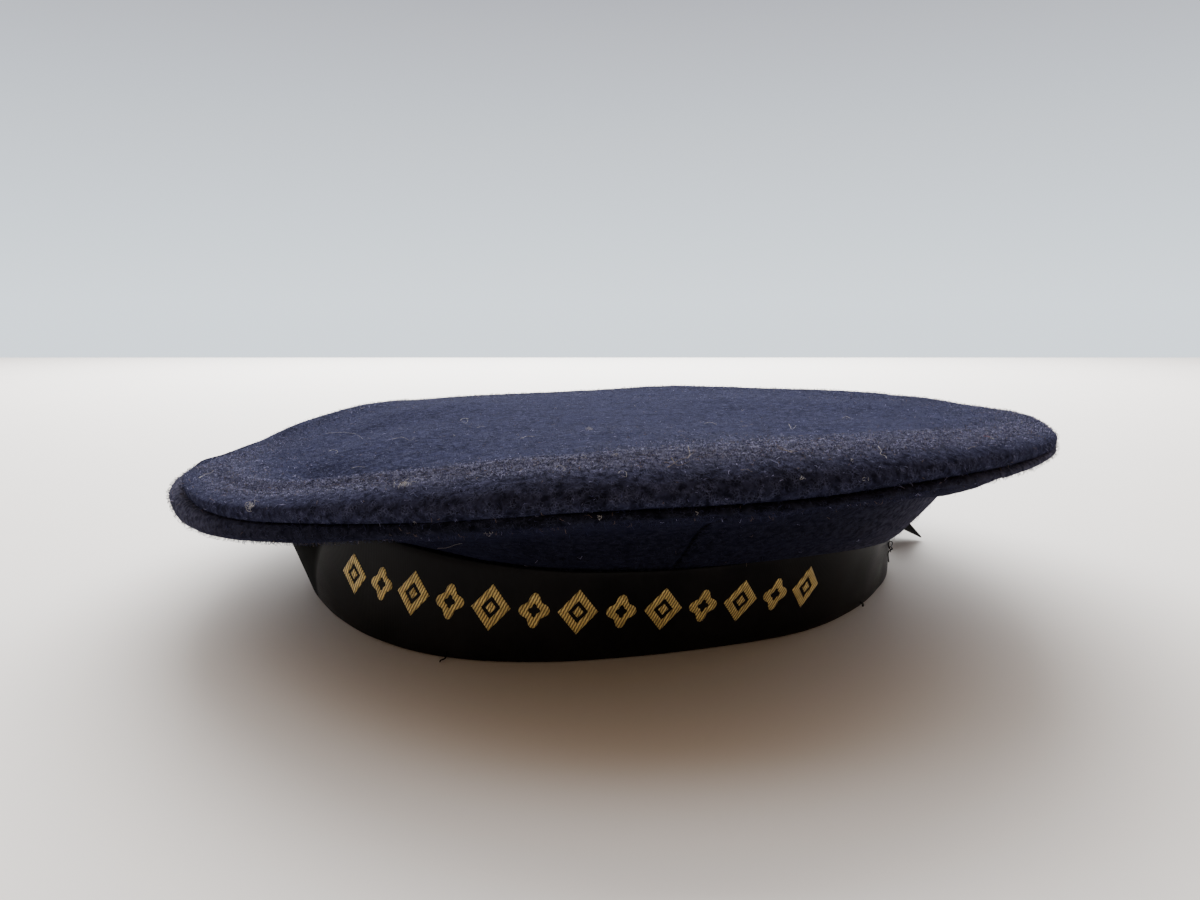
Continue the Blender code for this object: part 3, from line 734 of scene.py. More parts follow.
black_silk = silk("black_silk", 0.44)
ribbon_azimuth = (np.arange(RIBBON_STATIONS) * TURN / RIBBON_STATIONS)[:, None]
ribbon_height = band("height", ribbon_azimuth) - RIBBON_LIFT
ribbon_level, ribbon_inward = strip_outline(ribbon_height, RIBBON_WALL, 16, 3)
ribbon_level = ribbon_level + RIBBON_LIFT
ribbon_grid = upright(ribbon_azimuth, ribbon_level, ribbon_inward - ribbon_face(ribbon_azimuth, ribbon_level))
ribbon_u = np.arange(RIBBON_STATIONS + 1) * (HEAD_GIRTH / RIBBON_STATIONS)
ribbon_v = np.concatenate([ribbon_level.mean(axis=0), ribbon_level.mean(axis=0)[:1]])
# Painted shade: a darker, duller strip near the ribbon's left end
ribbon_shade_mark = painted_shade_strip(ribbon_azimuth, ribbon_level)
cap_ribbon = lay_grid("silk_cap_ribbon", ribbon_grid, uv=(ribbon_u, ribbon_v), worn=ribbon_shade_mark)
settle(cap_ribbon, black_silk, "cap_ribbon", "cap_ribbon")

# Woven ornament
# A row of lozenges and quatrefoils in gold thread across the front of the ribbon, woven in with the
# ribbon itself in twill, so that it stands a thread's thickness proud of the silk.
ORNAMENT_COUNT = 13
ORNAMENT_FIRST = -41.0
ORNAMENT_LAST = 33.5
ORNAMENT_HIGH = 5.7 * MM
ORNAMENT_WIDE = 4.5 * MM
ORNAMENT_PROUD = 0.22 * MM
ORNAMENT_RADIUS = 94.0 * MM
ORNAMENT_MIDDLES = ((-42.0, 15.6), (-30.0, 14.4), (-18.0, 13.2), (0.0, 12.4), (18.0, 12.4), (34.0, 13.2))
MOTIF_STEPS = 56
MOTIF_RINGS = 7
TWILL_TURN = math.radians(-62.0)
TWILL_PITCH = 0.68 * MM
PICK_PITCH = 0.50 * MM
GOLD_LIGHT = (0.95, 0.73, 0.25, 1.0)
GOLD_DARK = (0.13, 0.085, 0.022, 1.0)
GOLD_GLOSS = {"Roughness": 0.55, "Metallic": 0.25, "Sheen Weight": 0.15}


def lozenge(angle):
    """Distance from the middle to a lozenge's edge: one over the sum of the sides of its angle."""
    return 1.0 / (np.abs(np.cos(angle)) + np.abs(np.sin(angle)))


def quatrefoil(angle):
    """Distance from the middle to a four-lobed edge: an even circle with four cosine lobes."""
    return 0.80 + 0.17 * np.cos(4 * angle)


def motif(azimuth, shape, hole, wide, high):
    """One motif as a flat ring of cloth between a hole and an outline, with its flat places: across it
    the height climbs from below the ribbon's face to proud of it, runs level, and drops again."""
    angle = (np.arange(MOTIF_STEPS) * 2 * math.pi / MOTIF_STEPS)[:, None]
    across = np.linspace(0.0, 1.0, MOTIF_RINGS)[None, :]
    reach = shape(angle) * (hole + (1 - hole) * across)
    middle = np.interp(azimuth, *np.array(ORNAMENT_MIDDLES).T) * MM
    level = middle + reach * high * np.sin(angle)
    sideways = reach * wide * np.cos(angle) + 0.10 * (level - middle)
    along = azimuth + np.degrees(sideways / ORNAMENT_RADIUS)
    off = ribbon_face(along, level)
    lift = ORNAMENT_PROUD * (1 - np.abs(2 * across - 1) ** 6) - 0.06 * MM
    face = upright(along, level, -off - lift)
    under = upright(along, level, -off + 0.10 * MM)
    flat = np.stack([np.radians(along) * ORNAMENT_RADIUS, level], axis=-1)
    return [np.concatenate([front, rear[:, ::-1]], axis=1) for front, rear in ((face, under), (flat, flat))]


def gold_twill():
    """Gold thread in a steep twill: diagonal ridges of pale thread with dark valleys between them."""
    material, tree = new_finish("gold_twill", GOLD_GLOSS)
    lengths = node(tree, "ShaderNodeUVMap", uv_map="cloth").outputs["UV"]
    slope = node(tree, "ShaderNodeMapping", {"Vector": lengths, "Rotation": (0.0, 0.0, TWILL_TURN)})
    twill = ridges(tree, slope.outputs[0], TWILL_PITCH, 0.35, "Y")
    picks = ridges(tree, lengths, PICK_PITCH, 0.4, "X")
    height = maths(tree, "MULTIPLY_ADD", picks, 0.35, twill)
    tarnish = clouds(tree, on_piece(tree), 480.0, 4.0)
    worn = maths(tree, "MULTIPLY", ranged(tree, height, 0.25, 1.15), tarnish)
    colour = blend(tree, maths(tree, "MULTIPLY", worn, 1.9, use_clamp=True), GOLD_DARK, GOLD_LIGHT)
    return feed(material, {"Base Color": colour, "Normal": raised(tree, height, 0.09 * MM)})


motifs = []
for number, azimuth in enumerate(np.linspace(ORNAMENT_FIRST, ORNAMENT_LAST, ORNAMENT_COUNT)):
    if number % 2 == 0:
        motifs.append(motif(azimuth, lozenge, 0.46, ORNAMENT_WIDE * 1.08, ORNAMENT_HIGH))
        motifs.append(motif(azimuth, lozenge, 0.02, ORNAMENT_WIDE * 0.30, ORNAMENT_HIGH * 0.27))
    else:
        motifs.append(motif(azimuth, quatrefoil, 0.34, ORNAMENT_WIDE * 0.86, ORNAMENT_HIGH * 0.80))
motif_grids, motif_maps = (np.stack(values) for values in zip(*motifs))
motif_rows, motif_columns = motif_grids.shape[1:3]
motif_row, motif_column = grid_faces(motif_rows, motif_columns)
one_motif = (motif_row % motif_rows * motif_columns + motif_column % motif_columns).reshape(1, -1)
motif_corners = (one_motif + (np.arange(len(motifs)) * motif_rows * motif_columns)[:, None]).ravel()
motif_starts = np.arange(0, motif_corners.size, 4)
motif_flat = motif_maps.reshape(-1, 2)[motif_corners]
ornament = make_piece("gold_ornament", motif_grids, motif_corners, motif_starts, motif_flat)
settle(ornament, gold_twill(), "cap_ribbon")

# Bow
# The ribbon's ends are tied behind the right side in a small flat bow: a firm knot, two loops that
# lie back against the ribbon, and two short free tails cut on the slant, one showing past the cap.
BOW_AZIMUTH = 117.0
BOW_RADIUS = 93.4 * MM
BOW_HEIGHT = 12.0 * MM
BOW_WALL = 0.45 * MM
KNOT_HALF = (4.3 * MM, 2.8 * MM, 6.5 * MM)
KNOT_OUT = 3.1 * MM
KNOT_RINGS = 40
KNOT_SIDES = 56
LOOP_REACH = 22.4 * MM
LOOP_STEPS = 64
TAIL_STEPS = 44
LOOP_CUT = (16.0 * MM, 43.0 * MM)
FRONT_TAIL_CUT = (12.0 * MM, 38.0 * MM)
BACK_TAIL_CUT = (12.0 * MM, 26.0 * MM)
LOOP_ROWS = (
    (3.4, 1.6, 3.0), (6.0, 1.1, 4.3), (10.0, 1.0, 5.6), (16.0, 0.6, 7.4), (20.5, 0.9, 8.0), (22.4, 2.6, 8.0),
    (20.5, 4.6, 7.9), (15.0, 5.2, 7.2), (9.5, 5.0, 5.4), (6.0, 4.3, 4.2), (3.4, 3.6, 3.0),
)
FRONT_TAIL_ROWS = (
    (3.6, 3.9, -4.0, 3.6, 2.6, -4.4),
    (9.0, 8.2, -5.8, 9.0, 5.6, -7.4),
    (16.0, 10.8, -5.6, 16.5, 6.8, -8.0),
    (25.5, 13.3, -8.6, 28.0, 5.0, -6.2),
    (34.8, 15.6, -11.0, 39.8, 2.7, -2.2),
)
BACK_TAIL_ROWS = (
    (-3.6, 3.9, -4.0, -3.6, 2.6, -4.4),
    (-9.0, 8.6, -8.2, -9.4, 5.8, -9.4),
    (-14.5, 12.0, -10.6, -17.0, 6.6, -10.4),
    (-20.0, 15.6, -11.0, -26.0, 5.6, -9.4),
    (-25.0, 19.0, -11.1, -35.0, 3.6, -6.8),
)


def read_paths(rows, steps):
    """A table's columns from its first row to its last, each on the smooth cubic through its values."""
    table = np.array(rows, float)
    at = np.linspace(0.0, len(rows) - 1.0, steps + 1)
    return [smooth_curve(np.arange(len(rows)), values, at) for values in table.T]


def compass(azimuth):
    """The directions along the rim and outwards from the cap at an azimuth."""
    a = np.radians(azimuth)
    along = np.stack([np.cos(a), np.sin(a), 0 * a], axis=-1)
    outward = np.stack([np.sin(a), -np.cos(a), 0 * a], axis=-1)
    return along, outward


def near_bow(along, out, up):
    """Places counted from the ribbon's face at the knot: towards the front, outwards and up."""
    backward, outward = compass(BOW_AZIMUTH)
    base = stand(BOW_AZIMUTH, BOW_RADIUS, BOW_HEIGHT, BAND_CENTRE)
    along, out, up = np.broadcast_arrays(along, out, up)
    return base - along[..., None] * backward + out[..., None] * outward + up[..., None] * [0.0, 0.0, 1.0]


def thick_strip(sheet, wall):
    """Cloth of a given thickness from a sheet of points: both faces half a wall off along the sheet's
    normals, a point half a wall past each edge, and ends that meet in the middle."""
    square = unit(np.cross(np.gradient(sheet, axis=0), np.gradient(sheet, axis=1)))
    far = sheet[:, -1:] + unit(sheet[:, -1:] - sheet[:, -2:-1]) * wall / 2
    near = sheet[:, :1] + unit(sheet[:, :1] - sheet[:, 1:2]) * wall / 2
    rear = (sheet - square * wall / 2)[:, ::-1]
    ring = np.concatenate([sheet + square * wall / 2, far, rear, near], axis=1)
    first, last = (
        np.broadcast_to(row.mean(axis=1, keepdims=True), row.shape) for row in (ring[:1], ring[-1:])
    )
    return np.concatenate([first, ring, last], axis=0)


def silk_strip(name, sheet, cut):
    """A length of the ribbon as a closed piece, with its ribs across it."""
    run = np.linalg.norm(np.diff(sheet[:, sheet.shape[1] // 2], axis=0), axis=-1)
    along = np.concatenate([[0.0, 0.0], np.cumsum(run), [run.sum()]])
    width = np.linspace(0.0, cut[0], sheet.shape[1])
    across = np.concatenate([width, [cut[0]], width[::-1], [0.0, 0.0]])
    piece = lay_grid("silk_" + name, thick_strip(sheet, BOW_WALL), round_rows=False, uv=(along, across))
    settle(piece, bow_silk, name, name)


def loop_sheet(side):
    """A loop's middle sheet: its path out and back, bent to the band, with pleats that gather at the
    knot and open towards the bend."""
    along, out, half = (values[:, None] * MM for values in read_paths(LOOP_ROWS, LOOP_STEPS))
    across = np.linspace(-1.0, 1.0, 19)[None, :]
    out = out + np.sqrt(BOW_RADIUS ** 2 - along ** 2) - BOW_RADIUS
    gather = bell(along - 3.4 * MM, 8.0 * MM)
    pleat = 0.42 * MM * gather * np.cos(2.5 * math.pi * across)
    swell_out = 0.25 * MM * np.sin(math.pi * along / LOOP_REACH) * (1 - across ** 2)
    away = np.where(np.arange(LOOP_STEPS + 1)[:, None] <= LOOP_STEPS // 2, -0.3, 1.0)
    return near_bow(side * along, out + pleat * np.sign(away) + swell_out * away, half * across)


def tail_sheet(rows):
    """A free end's middle sheet: straight lines between its low edge, which the first three columns
    give along, out and up, and its high edge, with a shallow lengthwise fold."""
    edges = [values[:, None] * MM for values in read_paths(rows, TAIL_STEPS)]
    across = np.linspace(0.0, 1.0, 15)[None, :]
    along, out, up = (low + (high - low) * across for low, high in zip(edges[:3], edges[3:]))
    along_fold = np.sin(math.pi * np.linspace(0.0, 1.0, TAIL_STEPS + 1))[:, None]
    fold = 0.35 * MM * np.sin(math.pi * across) * along_fold
    return near_bow(along, out, up + fold)


def rounded(value, power):
    """A sine or cosine raised to a power with its sign kept, which squares off a round shape."""
    return np.sign(value) * np.abs(value) ** power


def knot_grid():
    """The knot: a squared-off ball, longer up than along, with shallow pleats round it."""
    climb = np.linspace(-math.pi / 2, math.pi / 2, KNOT_RINGS)[:, None]
    swing = (np.arange(KNOT_SIDES) * 2 * math.pi / KNOT_SIDES)[None, :]
    ring = rounded(np.cos(climb), 0.42)
    pleats = 1 + 0.045 * np.cos(9 * climb + 0.6 * np.sin(swing)) * ring
    along = KNOT_HALF[0] * rounded(np.sin(climb), 0.62) + 0 * swing
    out = KNOT_OUT + (KNOT_HALF[1] - 0.15 * MM) * ring * pleats * rounded(np.cos(swing), 0.7)
    up = (KNOT_HALF[2] - 0.3 * MM) * ring * pleats * rounded(np.sin(swing), 0.8)
    return near_bow(along, out, up)


bow_silk = silk("bow_silk", 0.95)
knot_map = (np.linspace(0.0, 26.0 * MM, KNOT_RINGS), np.linspace(0.0, 32.0 * MM, KNOT_SIDES + 1))
knot = lay_grid("silk_bow_knot", knot_grid(), round_rows=False, turn_over=True, uv=knot_map)
settle(knot, bow_silk, "bow_knot", "bow_knot")
silk_strip("bow_loop_front", loop_sheet(1.0), LOOP_CUT)
silk_strip("bow_loop_back", loop_sheet(-1.0), LOOP_CUT)
silk_strip("bow_tail_front", tail_sheet(FRONT_TAIL_ROWS), FRONT_TAIL_CUT)
silk_strip("bow_tail_back", tail_sheet(BACK_TAIL_ROWS), BACK_TAIL_CUT)

# Seam stitches and loose threads
# Each side seam is caught with small dark stitches that sink into the cloth. Where the ribbon's edges
# were tacked down, a few ends of black thread have worked loose and stand out in loops.
STITCH_PITCH = 2.1 * MM
STITCH_HALF = 0.55 * MM
STITCH_ROUND = 0.08 * MM
THREAD_ROUND = 0.18 * MM
THREAD_STEPS = 47
THREAD_COLOUR = (0.004, 0.004, 0.005)
THREAD_GLOSS = {"Roughness": 0.95, "Specular IOR Level": 0.05}
THREAD_PATHS = (
    (
        69.0,
        ((0.0, 6.8, 0.9), (0.1, 8.2, 0.6), (0.0, 9.4, 0.4), (0.1, 10.2, 0.6), (0.3, 11.0, 1.5),
         (0.2, 10.8, 0.8), (0.0, 11.6, 0.3), (-0.1, 12.4, 0.1), (0.0, 13.1, 0.4), (0.2, 13.1, 1.0),
         (0.2, 12.4, 1.2), (0.0, 11.6, 0.8), (0.0, 11.1, 0.4)),
    ),
    (70.6, ((0.0, 10.6, 0.0), (0.2, 10.9, 0.7), (-0.1, 10.3, 1.1), (0.2, 9.9, 0.6), (0.0, 9.2, 0.9))),
    (53.0, ((0.0, 1.6, 0.0), (0.4, 1.0, 0.5), (0.0, 0.5, 0.9), (-0.5, 0.9, 1.3), (-0.2, 1.5, 0.9))),
    (-22.6, ((0.0, 1.7, 0.0), (0.2, 0.9, 0.4), (0.1, 0.35, 0.9), (-0.3, 0.3, 1.9), (0.1, 0.3, 2.9))),
    (101.0, ((0.0, 21.0, 0.1), (0.5, 19.5, 0.9), (0.2, 17.2, 1.2), (-0.5, 16.4, 2.0), (-0.2, 17.6, 2.6))),
)


def strands(name, paths, radius, sides, upward, tone=None):
    """Many round strands in one piece. Each path of points carries rings of an even number of sides,
    square to its run, from a closed root to a pointed tip; the radius is given for each point."""
    count, stations = paths.shape[:2]
    run = unit(np.gradient(paths, axis=1))
    first = unit(np.cross(run, np.broadcast_to(upward[:, None, :], run.shape)))
    second = np.cross(run, first)
    angle = np.arange(sides) * 2 * math.pi / sides
    ring = first[:, :, None] * np.cos(angle)[:, None] + second[:, :, None] * np.sin(angle)[:, None]
    rings = (paths[:, :, None] + ring * radius[..., None, None])[:, :-1]
    each = (stations - 1) * sides + 1
    points = np.concatenate([rings.reshape(count, -1, 3), paths[:, -1:]], axis=1)
    k, m = np.meshgrid(np.arange(stations - 2), np.arange(sides), indexing="ij")
    n = (m + 1) % sides
    walls = np.stack([k * sides + m, k * sides + n, (k + 1) * sides + n, (k + 1) * sides + m], axis=-1)
    low = (stations - 2) * sides
    m = np.arange(sides)
    tips = np.stack([low + m, low + (m + 1) % sides, np.full(sides, each - 1)], axis=-1)
    one = np.concatenate([walls.ravel(), tips.ravel(), m[::-1]])
    corners = one[None, :] + np.arange(count)[:, None] * each
    sizes = np.concatenate([np.full(walls[..., 0].size, 4), np.full(sides, 3), [sides]])
    starts = np.concatenate([[0], np.cumsum(np.tile(sizes, count))[:-1]])
    marks = None if tone is None else {"tone": np.repeat(tone, each)}
    return make_piece(name, points, corners, starts, marks=marks)


def toned(colour, share):
    """A colour made darker or lighter by a share."""
    return [value * share for value in colour[:3]] + [1.0]


def spun_thread():
    """Spun black thread: a fine twist in relief, with a tone that varies along it."""
    material, tree = new_finish("black_thread", THREAD_GLOSS)
    twist = clouds(tree, on_piece(tree), 5200.0, 2.0)
    colour = blend(tree, twist, toned(THREAD_COLOUR, 0.55), toned(THREAD_COLOUR, 1.35))
    return feed(material, {"Base Color": colour, "Normal": raised(tree, twist, 0.03 * MM)})


def side_seam_stitches():
    """Short arcs across each side seam, one pitch apart, from under the lip down to the ribbon."""
    paths = []
    upward = []
    first = ALLOWANCE_STEPS + LIP_STEPS + ROLL_STEPS
    for index, (grid, normals) in enumerate(side_grids):
        line = grid[0, first:-TUCK_STEPS]
        square = normals[0, first:-TUCK_STEPS]
        run = np.concatenate([[0.0], np.cumsum(np.linalg.norm(np.diff(line, axis=0), axis=-1))])
        at = np.arange(1.2 * MM, run[-1] - 0.5 * MM, STITCH_PITCH)
        middle, up = (np.stack([np.interp(at, run, v) for v in values.T], -1) for values in (line, square))
        around_cap, _ = compass(SEAM_START + index * SEAM_TURN)
        across = around_cap + 0.35 * unit(np.gradient(middle, axis=0))
        swing = np.linspace(-1.0, 1.0, 7)[None, :, None]
        arc = 0.30 * MM * (1 - swing ** 2) + 0.02 * MM
        paths.append(middle[:, None] + across[:, None] * swing * STITCH_HALF + up[:, None] * arc)
        upward.append(up)
    paths = np.concatenate(paths)
    radius = np.broadcast_to(STITCH_ROUND * np.array([0.6, 1.0, 1.0, 1.0, 1.0, 0.9, 0.3]), paths.shape[:2])
    return strands("seam_stitches", paths, radius, 6, np.concatenate(upward))


def loose_thread(azimuth, rows):
    """A thread end as a smooth path through its rows, counted along, up and out from the ribbon."""
    along, up, out = (values * MM for values in read_paths(rows, THREAD_STEPS))
    at = azimuth + np.degrees(along / (93.0 * MM))
    face = upright(at, up, -ribbon_face(at, up) - 0.05 * MM)
    return face + compass(at)[1] * out[:, None]


black_thread = spun_thread()
settle(side_seam_stitches(), black_thread, "quarter_front_right")
thread_paths = np.stack([loose_thread(*row) for row in THREAD_PATHS])
thread_round = THREAD_ROUND * np.linspace(1.0, 0.8, THREAD_STEPS + 1) * np.ones((len(THREAD_PATHS), 1))
thread_up = np.stack([compass(row[0])[0] for row in THREAD_PATHS]) + [0.0, 0.0, 0.1]
settle(strands("loose_threads", thread_paths, thread_round, 6, thread_up), black_thread, "cap_ribbon")

# Nap
# The felted wool's own fibres stand off its face: short and flat over the top, longer, curled and
# rubbed pale along the front crease, and a thin fuzz that catches the light round the whole rim.
FIBRE_DARK = (0.010, 0.011, 0.026, 1.0)
FIBRE_NAVY = (0.050, 0.055, 0.140, 1.0)
FIBRE_PALE = (0.340, 0.340, 0.560, 1.0)
FIBRE_BROWN = (0.160, 0.115, 0.100, 1.0)
FIBRE_GLOSS = {"Roughness": 0.75, "Specular IOR Level": 0.15}
FIBRE_STATIONS = 3
BROWN_SHARE = 0.05
SIDE_COUNT = 2600


def spread_over(grid, normals, weight, count, seed):
    """Random places on a grid with their normals: cells drawn by area times weight, then two random
    shares inside each cell, mixed from its four corners."""
    random = np.random.default_rng(seed)
    edge_a = grid[1:, :-1] - grid[:-1, :-1]
    edge_b = grid[:-1, 1:] - grid[:-1, :-1]
    chance = np.linalg.norm(np.cross(edge_a, edge_b), axis=-1) * weight[:-1, :-1]
    total = np.cumsum(chance.ravel())
    cell = np.searchsorted(total, random.uniform(0.0, total[-1], count))
    i, j = np.unravel_index(cell, chance.shape)
    u, v = random.uniform(0.0, 1.0, (2, count, 1))
    mixed = []
    for values in (grid, normals):
        near = values[i, j] * (1 - u) + values[i + 1, j] * u
        far = values[i, j + 1] * (1 - u) + values[i + 1, j + 1] * u
        mixed.append(near * (1 - v) + far * v)
    return mixed[0], unit(mixed[1]), random


def nap(name, places, normals, random, long, lift, curl, thick, pale):
    """Curled fibres: each leaves its root at a slant, arches over on half a sine wave as high as its
    lift, and bends to one side with the square of the way along."""
    count = len(places)
    way = random.normal(0.0, 1.0, (count, 3))
    way = unit(way - normals * (way * normals).sum(axis=-1, keepdims=True))
    aside = np.cross(normals, way)
    s = np.linspace(0.0, 1.0, FIBRE_STATIONS)[None, :, None]
    length = (long * MM * random.lognormal(0.0, 0.35, count))[:, None, None]
    height = (lift * MM * random.uniform(0.4, 1.6, count))[:, None, None]
    bend = (curl * random.normal(0.0, 1.0, count))[:, None, None]
    arch = np.sin(0.80 * math.pi * s) * height - 0.12 * MM * (1 - s)
    lean = length * (s - 0.25 * np.abs(bend) * s ** 3)
    paths = places[:, None] + way[:, None] * lean + normals[:, None] * arch
    paths = paths + aside[:, None] * length * bend * s ** 2
    taper = np.linspace(1.0, 0.55, FIBRE_STATIONS)[None, :]
    radius = thick * MM * random.uniform(0.7, 1.3, (count, 1)) * taper
    tone = np.clip(random.beta(1.3, 2.6, count) * pale, 0.0, 1.0)
    odd = random.uniform(0.0, 1.0, count) < BROWN_SHARE
    tone = np.where(odd, 1.0 + random.uniform(0.0, 1.0, count), tone)
    settle(strands(name, paths, radius, 3, normals, tone), wool_fibre, "crown_top")


def tone_ramp(tree, tone, stops):
    """The colour of each strand by its tone: stops give a tone from 0 to 1 and its colour."""
    ramp = node(tree, "ShaderNodeValToRGB", {"Fac": tone})
    elements = ramp.color_ramp.elements
    for place, colour in stops[1:-1]:
        elements.new(place).color = colour
    for element, (place, colour) in ((elements[0], stops[0]), (elements[-1], stops[-1])):
        element.position = place
        element.color = colour
    return ramp.outputs["Color"]


def fibre_finish():
    """Single wool fibres: from navy through lavender grey to pale, with a few brown ones among them."""
    material, tree = new_finish("wool_fibre", FIBRE_GLOSS)
    tone = marked(tree, "tone")
    colour = tone_ramp(tree, tone, ((0.0, FIBRE_DARK), (0.45, FIBRE_NAVY), (1.0, FIBRE_PALE)))
    odd = maths(tree, "GREATER_THAN", tone, 1.4)
    return feed(material, {"Base Color": blend(tree, odd, colour, FIBRE_BROWN)})


wool_fibre = fibre_finish()
top_ring = np.arange(top_grid.shape[1])[None, :]
out_of_seam = (top_ring <= TOP_RINGS + BROW_STEPS + EDGE_STEPS) * 1.0
at_front = swell(top_azimuth, 1.0, 0.0, 68.0)
behind_ridge = bell(np.clip(-top_run, 0.0, None), 17 * MM)
below_ridge = 0.94 * bell(np.clip(top_run - 7.0 * MM, 0.0, None), 3.2 * MM) + 0.06
front_weight = at_front * np.where(top_run < 0, behind_ridge, below_ridge)
crest_weight = at_front * bell(top_run - 3.5 * MM, 5.5 * MM)
rim_weight = np.where(top_run < 0, bell(top_run, 14 * MM), 1.0) * (1.15 - at_front)
top_weight = (top_ring < TOP_RINGS) * (0.35 + top_ring / TOP_RINGS) * (0.55 + at_front)
# Each field's weight, count and seed, then its fibres' length, lift, curl, thickness and paleness
NAP_ROWS = (
    ("front", front_weight, 17500, 31, 0.62, 0.30, 1.2, 0.048, 1.0),
    ("crest", crest_weight, 17500, 32, 0.50, 0.32, 1.3, 0.048, 1.1),
    ("rim", rim_weight, 7000, 33, 1.0, 0.6, 0.8, 0.045, 0.65),
    ("top", top_weight, 13000, 34, 0.75, 0.26, 0.9, 0.045, 0.8),
)
for field, weight, count, seed, *fibre in NAP_ROWS:
    round_cap = [np.concatenate([a, a[:1]]) for a in (top_grid, top_normals, weight * out_of_seam)]
    nap("crown_nap_" + field, *spread_over(*round_cap, count, seed), *fibre)
for index, (panel_grid, panel_normals) in enumerate(side_grids):
    column = np.arange(panel_grid.shape[1])[None, :]
    past_seam = column >= ALLOWANCE_STEPS + 1
    at_edge = past_seam & (column < ALLOWANCE_STEPS + LIP_STEPS + ROLL_STEPS + 4)
    above_band = past_seam & (column < panel_grid.shape[1] - TUCK_STEPS)
    weight = (at_edge * 1.0 + above_band * 0.06) * np.ones((panel_grid.shape[0], 1))
    roots = spread_over(panel_grid, panel_normals, weight, SIDE_COUNT, 41 + index)
    nap("nap_" + SIDE_NAMES[index], *roots, 1.0, 0.6, 0.8, 0.042, 0.35)

# Lint and stray hairs
# Bits of pale fluff, short curls and a few long hairs cling to the wool, as they do to worn felt. Each
# is placed where it is seen from the front, and lies on the cloth beneath it.
CAMERA_PLACE = (-3.6 * MM, -292.0 * MM, 83.0 * MM)
CAMERA_PITCH = 9.27
PICTURE_SCALE = 901.0
PICTURE_MIDDLE = (600.0, 450.0)
HAIR_STEPS = 24
HAIR_FINE = 0.62
# Each hair's tone and thickness, and the places in the picture that it runs through
HAIR_ROWS = (
    (0.55, 0.055, ((199, 480), (204, 476), (210, 474), (215, 472))),
    (0.60, 0.050, ((326, 435), (336, 433.4), (345, 433), (355, 434.5), (360, 437), (363, 441))),
    (0.50, 0.050, ((460, 422), (464, 419), (468, 420), (466, 424), (462, 423))),
    (0.55, 0.045, ((477, 429), (481, 427), (485, 428))),
    (0.50, 0.045, ((329, 453), (333, 450.5), (338, 452), (336, 455))),
    (0.62, 0.060, ((878, 449), (881, 452), (880, 455), (885, 457), (886, 461))),
    (0.45, 0.045, ((789, 426), (792, 430), (796, 427))),
    (0.18, 0.065, ((776, 447), (783, 449.5), (793, 455))),
    (0.20, 0.065, ((777, 450), (785, 451.5), (794, 453))),
    (0.10, 0.060, ((667, 470), (672, 466), (679, 461), (686, 459), (695, 454))),
    (0.12, 0.055, ((671, 460), (677, 466), (684, 465), (690, 463))),
    (0.12, 0.055, ((688, 449), (690, 455), (687, 461))),
    (0.45, 0.050, ((618, 476), (621, 472), (626, 473), (626, 478), (621, 478))),
    (0.40, 0.050, ((967, 451), (971, 448), (976, 448))),
    (1.00, 0.070, ((983, 438), (987, 437), (990, 439))),
    (0.60, 0.060, ((988, 440), (992, 439), (994, 441))),
    (0.35, 0.045, ((438, 546), (446, 547), (455, 544), (463, 541))),
    (0.30, 0.045, ((392, 441), (402, 438), (410, 441), (415, 439))),
    (0.35, 0.045, ((521, 440), (527, 437), (535, 438))),
    (0.30, 0.045, ((704, 425), (711, 423), (717, 426))),
    (0.30, 0.045, ((556, 470), (560, 466), (565, 470), (562, 474))),
    (0.35, 0.045, ((842, 420), (846, 417), (851, 420))),
    (0.35, 0.045, ((352, 470), (358, 467), (366, 469))),
    (0.25, 0.045, ((740, 472), (747, 470), (752, 474))),
)
# Each bit of fluff's x and y in the picture, its width and height in mm, and its count of fibres
FLUFF_ROWS = (
    (252, 507, 0.6, 1.2, 24), (405, 486, 1.9, 0.6, 34), (589, 430, 1.0, 0.5, 13), (363, 409, 0.6, 0.4, 4),
    (555, 409, 0.5, 0.3, 3), (599, 518, 0.4, 0.5, 5), (697, 514, 0.3, 0.3, 4), (415, 522, 0.4, 0.3, 4),
    (488, 532, 0.5, 0.4, 6), (875, 436, 0.5, 0.3, 4), (635, 407, 0.5, 0.3, 3), (615, 456, 0.8, 0.5, 7),
    (1021, 424, 0.4, 0.3, 3), (1001, 429, 0.4, 0.3, 3), (915, 418, 0.4, 0.3, 3), (803, 479, 0.5, 0.4, 4),
    (864, 480, 0.5, 0.4, 4), (853, 462, 0.4, 0.3, 3), (582, 459, 0.5, 0.3, 4), (306, 418, 0.4, 0.3, 3),
    (455, 437, 0.4, 0.3, 3), (668, 401, 0.4, 0.3, 3), (742, 411, 0.4, 0.3, 3),
)
FLUFF_TONE = 0.65
FLUFF_ROUND = 0.032 * MM
LINT_TAN = (0.26, 0.20, 0.14, 1.0)
LINT_WHITE = (0.46, 0.45, 0.45, 1.0)
LINT_RED = (0.30, 0.05, 0.06, 1.0)
LINT_STOPS = ((0.15, LINT_TAN), (0.55, LINT_WHITE), (0.75, LINT_WHITE), (1.0, LINT_RED))


def wool_faces():
    """The crown's outer faces in one searchable set, for laying lint on them."""
    points = []
    faces = []
    start = 0
    for grid in [np.concatenate([top_grid, top_grid[:1]], axis=0)] + [pair[0] for pair in side_grids]:
        rows, columns = grid.shape[:2]
        row, column = grid_faces(rows, columns, round_rows=False, round_columns=False)
        faces.append(start + row * columns + column)
        points.append(grid.reshape(-1, 3))
        start += rows * columns
    return BVHTree.FromPolygons(np.concatenate(points).tolist(), np.concatenate(faces).tolist())


